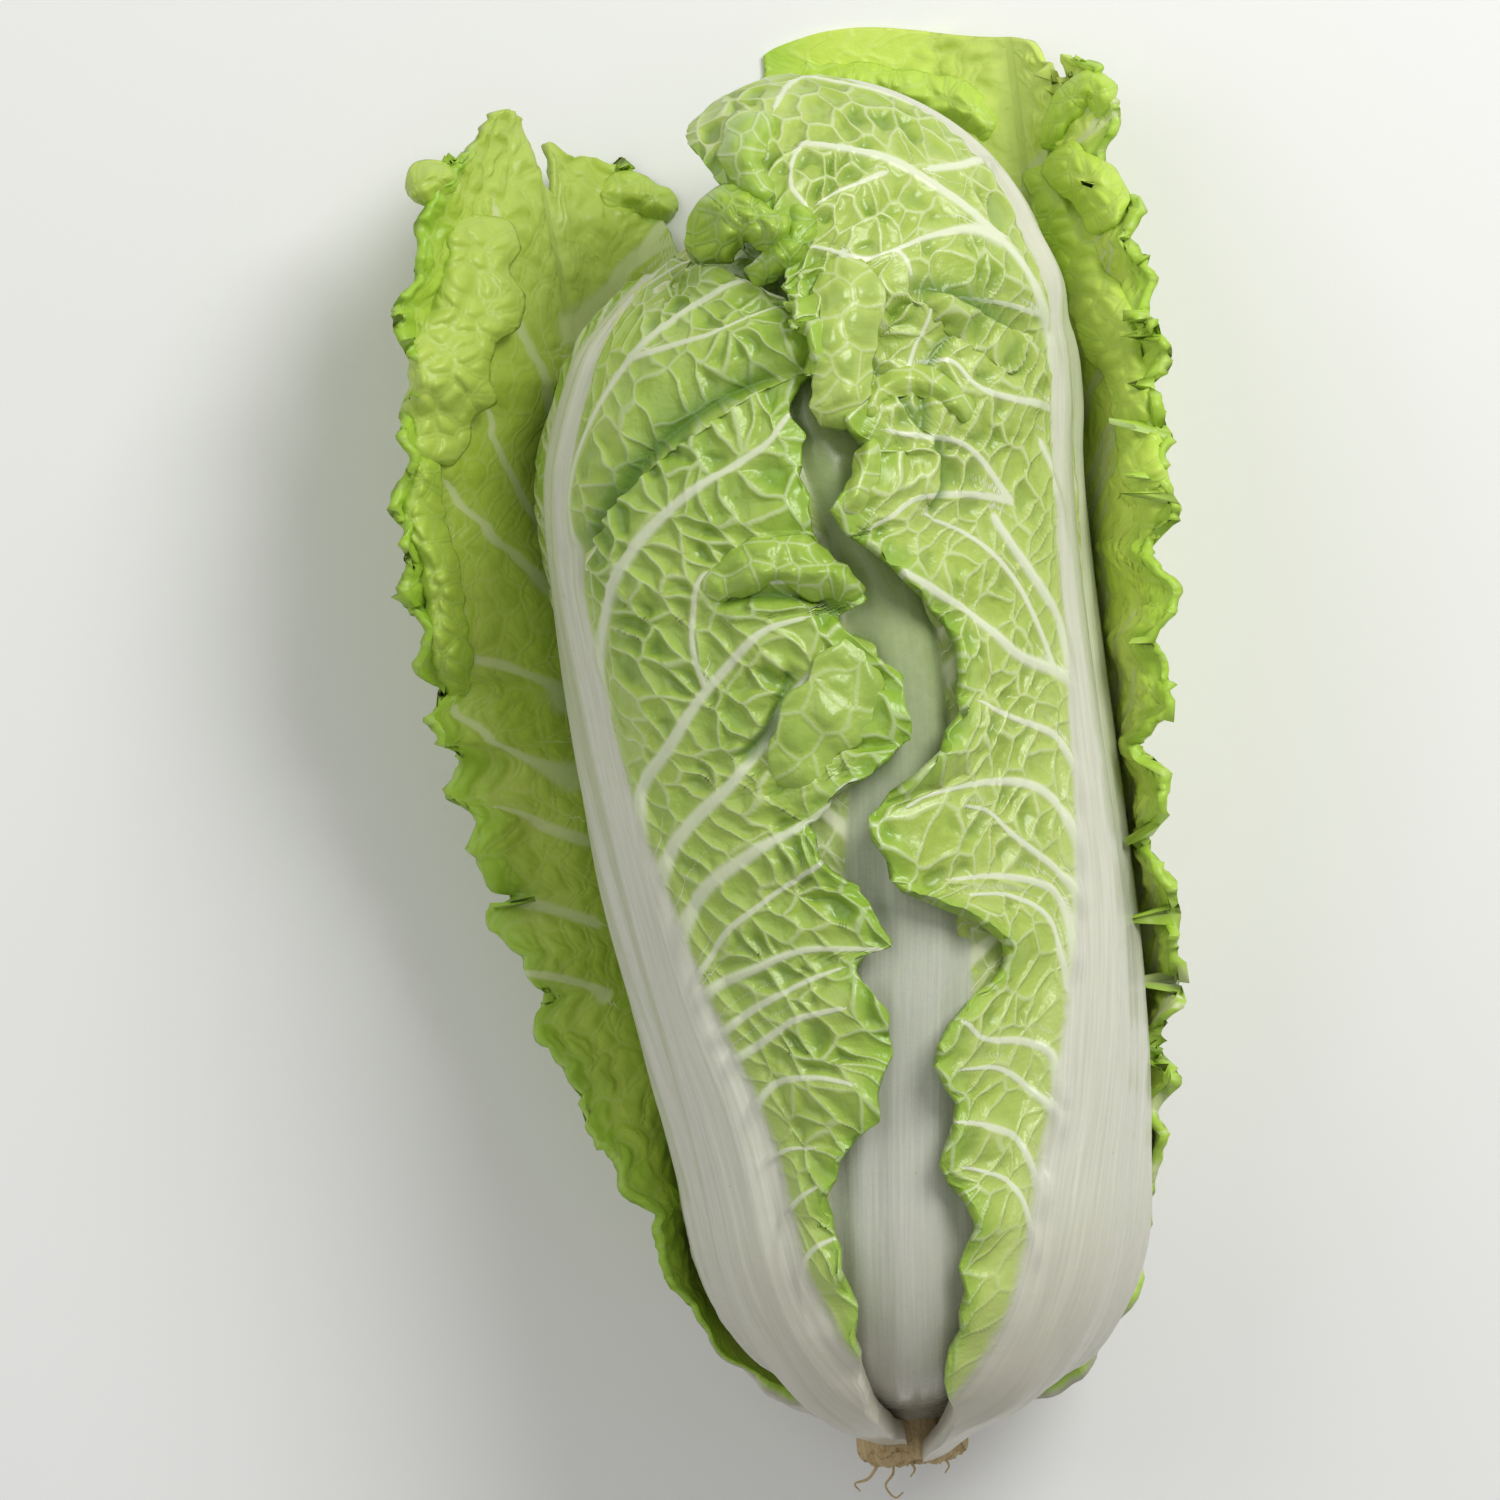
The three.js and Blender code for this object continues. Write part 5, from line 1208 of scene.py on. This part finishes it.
wrapperLeafLeft = {
    "name": "wrapper_leaf_left", "slot": "wrapper_leaf", "start": 16, "tip": 344, "points": (340, 60, 36),
    "rib": [[16, 236], [60, 236], [90, 234], [150, 227], [210, 219], [256, 213], [344, 212]],
    "low": [[16, 190], [344, 190]],
    "high": [[16, 258], [60, 268], [100, 272], [230, 270], [270, 254], [310, 244], [328, 238], [344, 230]],
    "open": {
        "side": -1,
        "width": [[16, 8], [40, 20], [62, 38], [90, 46], [125, 48], [157, 50], [190, 54], [237, 58], [270, 57],
                  [300, 55], [325, 46], [344, 28]],
        "follow": [[16, 40], [60, 38], [90, 22], [125, 6], [157, 0]],
        "bend": [[60, 0.012], [90, 0.004], [125, -0.006], [190, -0.009], [270, -0.007], [344, -0.004]],
        "lift": [[240, 0], [285, 6], [344, 14]],
        "curl": [[150, 0], [200, 0.04], [310, 0.06], [335, 0.02]], "curlWidth": 16,
    },
    "tipNotches": [(0.08, 17, 0.1), (0.45, 3, 0.16), (-0.45, -8, 0.5)],
    "notches": [(120, 5, 4), (143, 4, 3), (166, 5, 3), (196, 7, 4), (214, 5, 3)],
    "flaps": [
        {"line": [(-76, 138), (-78, 127), (-82, 111), (-88, 95), (-92, 80)], "half": 10.5, "cell": 5.0,
         "profile": [[-1, -2], [-0.7, 3.5], [0, 5.5], [0.7, 5.5], [1, 3]], "lumps": 1.8, "pale": 0.6,
         "blister": 1.7, "green": 0.1},
        {"line": [(-93, 82), (-95, 67), (-92, 55), (-92, 40), (-91, 25)], "half": 5.0, "lumps": 2.6,
         "profile": [[-1, -1], [-0.5, 3], [0.2, 4.2], [1, -0.5]], "blister": 1.6, "green": 0.4, "pale": 0.3},
        {"line": [(-92, 142), (-87, 146), (-81, 147)], "half": 4.5,
         "profile": [[-1, -1], [0, 4], [1, -1]], "lumps": 1.6, "blister": 1.5, "green": 0.2, "pale": 0.4},
        {"line": [(-49, 142), (-43, 143), (-37, 141), (-31, 137)], "half": 4.5,
         "profile": [[-1, -1], [0, 3], [1, -1]], "lumps": 1.4, "blister": 1.3, "green": 0.2, "pale": 0.4},
    ],
    "veinScale": 1.5,
    "blister": 1.3, "innerRib": 0.12, "whiteBase": 45,
    "ruffle": {"side": -1, "from": 84, "to": 340, "height": 6, "waves": 11},
    "veins": [
        (2.4, 1.0, [(-56, 41), (-59, 69), (-64, 90), (-69, 109), (-72, 125), (-73, 139)]),
        (1.4, 0.5, [(-66, 59), (-72, 70), (-77, 84), (-79, 93)]),
        (1.6, 0.6, [(-65, 46), (-73, 56), (-82, 66), (-90, 76)]),
        (1.4, 0.6, [(-67, 23), (-78, 31), (-87, 35), (-93, 39)]),
        (1.4, 0.6, [(-67, 5), (-77, 11), (-86, 18), (-92, 24)]),
        (1.3, 0.5, [(-65, -10), (-74, -5), (-83, -1)]),
        (1.3, 0.5, [(-64, -30), (-73, -26), (-82, -23)]),
        (1.3, 0.5, [(-63, -47), (-72, -42), (-81, -39)]),
        (1.2, 0.5, [(-61, 87), (-59, 96), (-53, 107), (-45, 116)]),
    ],
    "fans": [(1, 60, 310, 14)],
    "coarse": 2.4, "teeth": 1.5, "frill": 2.0, "pressedLevel": 2.1, "every": 1, "edgeBand": 14,
    "ribWidth": [[15, 20], [45, 25], [90, 25], [140, 19], [200, 10], [250, 4], [300, 1.5], [380, 1]],
    "ribHeight": broadRib["ribHeight"],
}
leafPiece(wrapperLeafLeft, wrapperPaint)

wrapperLeafRight = {
    "name": "wrapper_leaf_right", "slot": "wrapper_leaf", "start": 16, "tip": 358, "points": (340, 56, 60),
    "rib": [[16, 326], [60, 324], [120, 326], [200, 328], [285, 327], [358, 318]],
    "low": [[16, 286], [60, 264], [100, 258], [230, 258], [270, 266], [330, 262], [358, 264]],
    "high": [[16, 360], [358, 360]],
    "open": {
        "side": 1,
        "width": [[16, 8], [40, 16], [80, 26], [99, 32], [130, 42], [160, 52], [180, 56], [230, 62], [290, 54],
                  [320, 44], [345, 30], [358, 18]],
        "follow": [[16, 36], [90, 34], [150, 28], [220, 22], [358, 10]],
        "bend": [[60, 0.014], [100, 0.006], [180, -0.004], [290, -0.006], [358, -0.002]],
        "lift": [[240, 0], [285, 3], [358, 12]],
        "curl": [[100, 0], [140, 0.03], [200, -0.02], [260, 0.03], [330, 0.03], [358, 0]], "curlWidth": 12,
    },
    "tipNotches": [(0.5, 17, 0.13), (-0.6, -8, 0.4), (-1.0, -8, 0.35)],
    "notches": [(118, 8, 5), (133, 9, 4), (150, 7, 4), (167, 10, 4), (190, 10, 4), (213, 5, 3), (236, 4, 3),
                (262, 4, 3), (292, 5, 4), (318, 9, 13)],
    "flaps": [
        {"line": [(-4, 163), (12, 164), (23, 161), (37, 156), (46, 148)], "half": 6.0,
         "profile": [[-1, -1], [-0.3, 3], [0.4, 3.5], [1, 0]], "lumps": 2.2, "blister": 1.6, "green": 0.6},
        {"line": [(59, 143), (64, 135), (68, 128), (69, 121)], "half": 6.0,
         "profile": [[-1, -0.5], [-0.4, 5], [0.4, 6.5], [1, 1.5]], "lumps": 1.6, "blister": 1.4, "green": 0.4},
        {"line": [(57, 143), (62, 151), (68, 156), (72, 149)], "half": 4.0,
         "profile": [[-1, -1], [-0.3, 3], [0.4, 3.5], [1, 0]], "lumps": 1.4, "blister": 1.2, "green": 0.7},
        {"line": [(54, 140), (60, 121), (65, 104), (69, 85), (71, 69), (72, 48)], "half": 5.5,
         "profile": [[-1, -1], [-0.3, 2.5], [0.4, 3], [1, 0]], "lumps": 2.0, "blister": 1.5, "green": 0.4},
    ],
    "blister": 1.5, "innerRib": 0.12, "whiteBase": 45,
    "ruffle": {"side": 1, "from": 84, "to": 352, "height": 6, "waves": 13},
    "fans": [(-1, 60, 320, 14), (1, 60, 330, 14)],
    "coarse": 3.4, "teeth": 2.0, "frill": 2.4, "every": 1, "edgeBand": 14,
    **broadRib,
}
# This leaf wears the lighter copy of the outer leaf finish, which is painted light.
leafPiece(wrapperLeafRight, litWrapperPaint)
print("leaves laid")

# The heart is seen only where its curled tips stand up.
heartShape = {
    "around": 200, "rings": 190, "start": 24.0, "end": 366.0,
    "sway": 2.0, "swaySize": 9.0, "net": (1.4, 1.6), "fine": (0.6, 0.8), "hill": (1.5, 14.0),  # height and size
    "plain": (60.0, 60.0, 40.0),  # smooth below this length, and how fast the relief comes and goes
    "below": 24.0, "above": 38.0, "sunk": 0.6,  # where its two ends close, and how deep it lies
    "bladeStart": (60, 50), "edgeStart": (270, 40), "pale": 0.3,  # where the rib turns green, and the green deeper
}


def heartPiece():
    around, rings = heartShape["around"], heartShape["rings"]
    angle = np.linspace(0, 2 * np.pi, around, endpoint=False)[None, :]
    s = np.linspace(heartShape["start"], heartShape["end"], rings)[:, None]
    tilt = np.where(s < straightStart, s - straightStart, np.maximum(s - straightEnd, 0)) / head["formRadius"]
    foot = np.clip(head["lowerCentre"] + s - straightStart, head["lowerCentre"], head["upperCentre"])
    foot = foot + 0 * angle
    out = np.stack([np.cos(tilt) * np.cos(angle), np.sin(tilt) + 0 * angle, np.cos(tilt) * np.sin(angle)], -1)
    x, y = angle * head["formRadius"] * np.cos(tilt), s + 0 * angle
    seam = np.minimum(angle, 2 * np.pi - angle) * head["formRadius"] * np.cos(tilt)
    netX, netY = (start + heartShape["sway"] * swell(seam, y, heartShape["swaySize"], seed)
                  for start, seed in ((seam, 61), (y, 62)))
    net, fine = cellNet(netX, netY, relief["netSize"]), cellNet(netX, netY, relief["fineSize"])
    hills = heartShape["hill"][0] * swell(seam, y, heartShape["hill"][1], 66)
    for key, near in (("net", net), ("fine", fine)):
        height, size = heartShape[key]
        hills = hills + height * np.exp(-near / size)
    until, come, go = heartShape["plain"]
    hills = hills * smooth((s - until) / come) * smooth((heartShape["end"] - s) / go)
    p = pointAt(foot, out, heartRadius(foot, out) + hills - heartShape["sunk"])
    pressTo(heart["pressedLevel"], p)
    index = np.arange(rings * around).reshape(rings, around)
    low, high = rings * around, rings * around + 1
    points = [p.reshape(-1, 3), np.array([[0, head["lowerCentre"] - heartShape["below"], head["axisHeight"]],
                                          [0, head["upperCentre"] + heartShape["above"], head["axisHeight"]]])]
    faces = [tubeFaces(index), endFaces(index[0], low), endFaces(index[-1], high, turned=True)]
    grow = lambda v: np.concatenate([v.ravel(), [v.flat[0], v.flat[-1]]])
    blade, edge = (smooth((y - start) / run) for start, run in (heartShape["bladeStart"], heartShape["edgeStart"]))
    fields = {
        "blade": grow(blade), "foldShade": grow(0 * y), "edge": grow(edge), "pale": grow(heartShape["pale"] + 0 * y),
        # Painted shade: darker in the sunk cells of the net.
        "veinSide": grow(relief["farSide"] + 0 * y), "veinNear": grow(0 * y), "hollow": grow(smooth(net / 3)),
    }
    for key, (across, up) in {"leafMap": (x, y), "netMap": (netX, netY)}.items():
        place = np.stack([across, up, 0 * up], -1).reshape(-1, 3)
        fields[key] = np.concatenate([place, place[:2]])
    return np.concatenate(points), np.concatenate(faces), fields


# The curled tips of two young leaves, which stand up on the left shoulder.
heartTips = [
    {"line": [(-28, 121), (-21, 126), (-14, 127), (-6, 120)], "half": 7.0, "lumps": 2.2, "blister": 2.0,
     "profile": [[-1, -3], [-0.5, 3], [0.2, 5], [0.7, 3], [1, -2]], "green": 0.5},
    {"line": [(-16, 114), (-10, 117), (-4, 122), (-3, 130)], "half": 4.5, "lumps": 1.6, "blister": 1.6,
     "profile": [[-1, -3], [-0.5, 3], [0.2, 4], [1, -2]], "green": 0.8},
]
shoulder = topOf([headLeafLeft["top"], headLeafRight["top"]])
points, faces, fields = joined([heartPiece()] + [flapSheet(tip, shoulder, 11) for tip in heartTips])
heartBody = pieceFrom("heart_leaves", points, faces, fields, None, heartPaint)
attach(heartBody, "root")
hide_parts("heart")
print("heart made")

# The cut stump, with a few dry roots.
stump = {
    "radius": 13.0, "cut": -160.5, "top": -122.0, "rings": 60, "around": 120,
    "faceShare": 0.4,  # of the rings, for the cut face
    "wear": 3.2, "wearSize": 4.5, "rimWear": 2.2, "rimStart": 9.0, "rimRun": 4.0,
    "hairSides": 6, "hairEnd": 0.4, "hairSmooth": 6,
    "fibreScale": (900, 260, 900), "fleckScale": 420, "bump": 0.7, "bumpHeight": 0.0008,  # to a metre, and in metres
    "cutColour": "cfb98a", "barkColour": "bda274", "darkColour": "94794c",
}


def stumpPiece():
    around, rings = stump["around"], stump["rings"]
    angle = np.linspace(0, 2 * np.pi, around, endpoint=False)[None, :]
    t = np.linspace(0, 1, rings)[:, None]
    faceShare = stump["faceShare"]
    y = np.where(t < faceShare, stump["cut"], mix(stump["cut"], stump["top"], (t - faceShare) / (1 - faceShare)))
    r = stump["radius"] * np.where(t < faceShare, t / faceShare, 1) + 0 * angle
    y = y + 0 * angle
    seam = np.minimum(angle, 2 * np.pi - angle) * 10
    rough = swell(seam * 2, y * 0.4 + r, 3.0, 71) + 0.6 * swell(seam * 5, y * 0.6 + r * 2, 1.8, 73)
    r = r * (1 + 0.03 * swell(seam * 3, 0 * r, 5, 75)) + np.where(t > faceShare, 0.5 * rough, 0)
    r = np.minimum(r, stump["radius"])
    worn = np.abs(swell(seam * 1.5, r, stump["wearSize"], 77)) * stump["wear"] + np.abs(rough) * 0.8
    worn = worn + stump["rimWear"] * smooth((r - stump["rimStart"]) / stump["rimRun"])
    y = np.maximum(y, stump["cut"] + worn)
    p = np.stack([r * np.cos(angle), y, head["axisHeight"] + r * np.sin(angle)], -1)
    p = p[1:]  # the first ring is one point, so it is left out
    index = np.arange((rings - 1) * around).reshape(rings - 1, around)
    last = (rings - 1) * around
    points = np.concatenate([p.reshape(-1, 3), [[0, stump["top"], head["axisHeight"]],
                                                [0, stump["cut"] + 0.3, head["axisHeight"]]]])
    faces = [tubeFaces(index), endFaces(index[-1], last, turned=True), endFaces(index[0], last + 1)]
    return points, np.concatenate(faces)


def stumpMaterial():
    p = Paint("stumpPaint")
    place = p.node("ShaderNodeTexCoord").outputs["Object"]
    fibre = p.noise(p.stretched(place, stump["fibreScale"]), 1.0, 4.0, 0.65)
    fleck = p.noise(place, stump["fleckScale"], 3.0, 0.6)
    skin = p.blend(p.band(fibre, 0.3, 0.7), colour(stump["barkColour"]), colour(stump["cutColour"]))
    skin = p.blend(p.band(fleck, 0.55, 0.75), skin, colour(stump["darkColour"]))
    p.put(p.shader.inputs["Base Color"], skin)
    p.put(p.shader.inputs["Roughness"], p.band(fleck, 0.2, 0.8, 0.7, 0.95))
    p.bump(p.math("ADD", fibre, fleck), stump["bump"], stump["bumpHeight"])
    return p.material


rootHairs = [  # fine dry roots at the cut, as points and a thickness
    ([(-8, -158, 62), (-9, -160.5, 60), (-11, -163, 57), (-14, -164, 55), (-13, -166, 53)], 0.5),
    ([(-5, -158, 60), (-5, -162, 58), (-7, -165, 56), (-5, -168, 55), (-3, -167, 54)], 0.4),
    ([(-2, -158, 64), (0, -161, 62), (-1, -163, 60)], 0.45),
    ([(6, -158, 62), (8, -161, 60), (7, -163, 58)], 0.4),
]


def hairPiece(line, thick):
    path = smoothPath(line, stump["hairSmooth"])
    ahead = np.gradient(path, axis=0)
    ahead = ahead / np.linalg.norm(ahead, axis=1, keepdims=True)
    sideways = np.cross(ahead, (0.3, 0.2, 1.0))
    sideways = sideways / np.linalg.norm(sideways, axis=1, keepdims=True)
    upwards = np.cross(sideways, ahead)
    sides = stump["hairSides"]
    turn = np.linspace(0, 2 * np.pi, sides, endpoint=False)[None, :, None]
    thin = thick * np.linspace(1, stump["hairEnd"], len(path))[:, None, None]
    offset = np.cos(turn) * sideways[:, None, :] + np.sin(turn) * upwards[:, None, :]
    ringPoints = path[:, None, :] + thin * offset
    index = np.arange(len(path) * sides).reshape(len(path), sides)
    caps = [(index[0][0], index[0][k + 1], index[0][k + 2], -1) for k in range(sides - 2)]
    caps += [(index[-1][0], index[-1][k + 2], index[-1][k + 1], -1) for k in range(sides - 2)]
    return ringPoints.reshape(-1, 3), np.concatenate([tubeFaces(index), np.array(caps)]), {}


def smoothPath(line, per):
    line = np.array(line, float)
    flat = smoothLine(line[:, :2], per)
    height = smoothLine(np.stack([line[:, 2], line[:, 2]], -1), per)[:, :1]
    return np.concatenate([flat, height], 1)


points, faces = stumpPiece()
points, faces, _ = joined([(points, faces, {})] + [hairPiece(*hair) for hair in rootHairs])
stumpBody = pieceFrom("cut_stump", points, faces, {}, None, stumpMaterial())
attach(stumpBody, "root")
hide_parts("stem")
print("stump made")
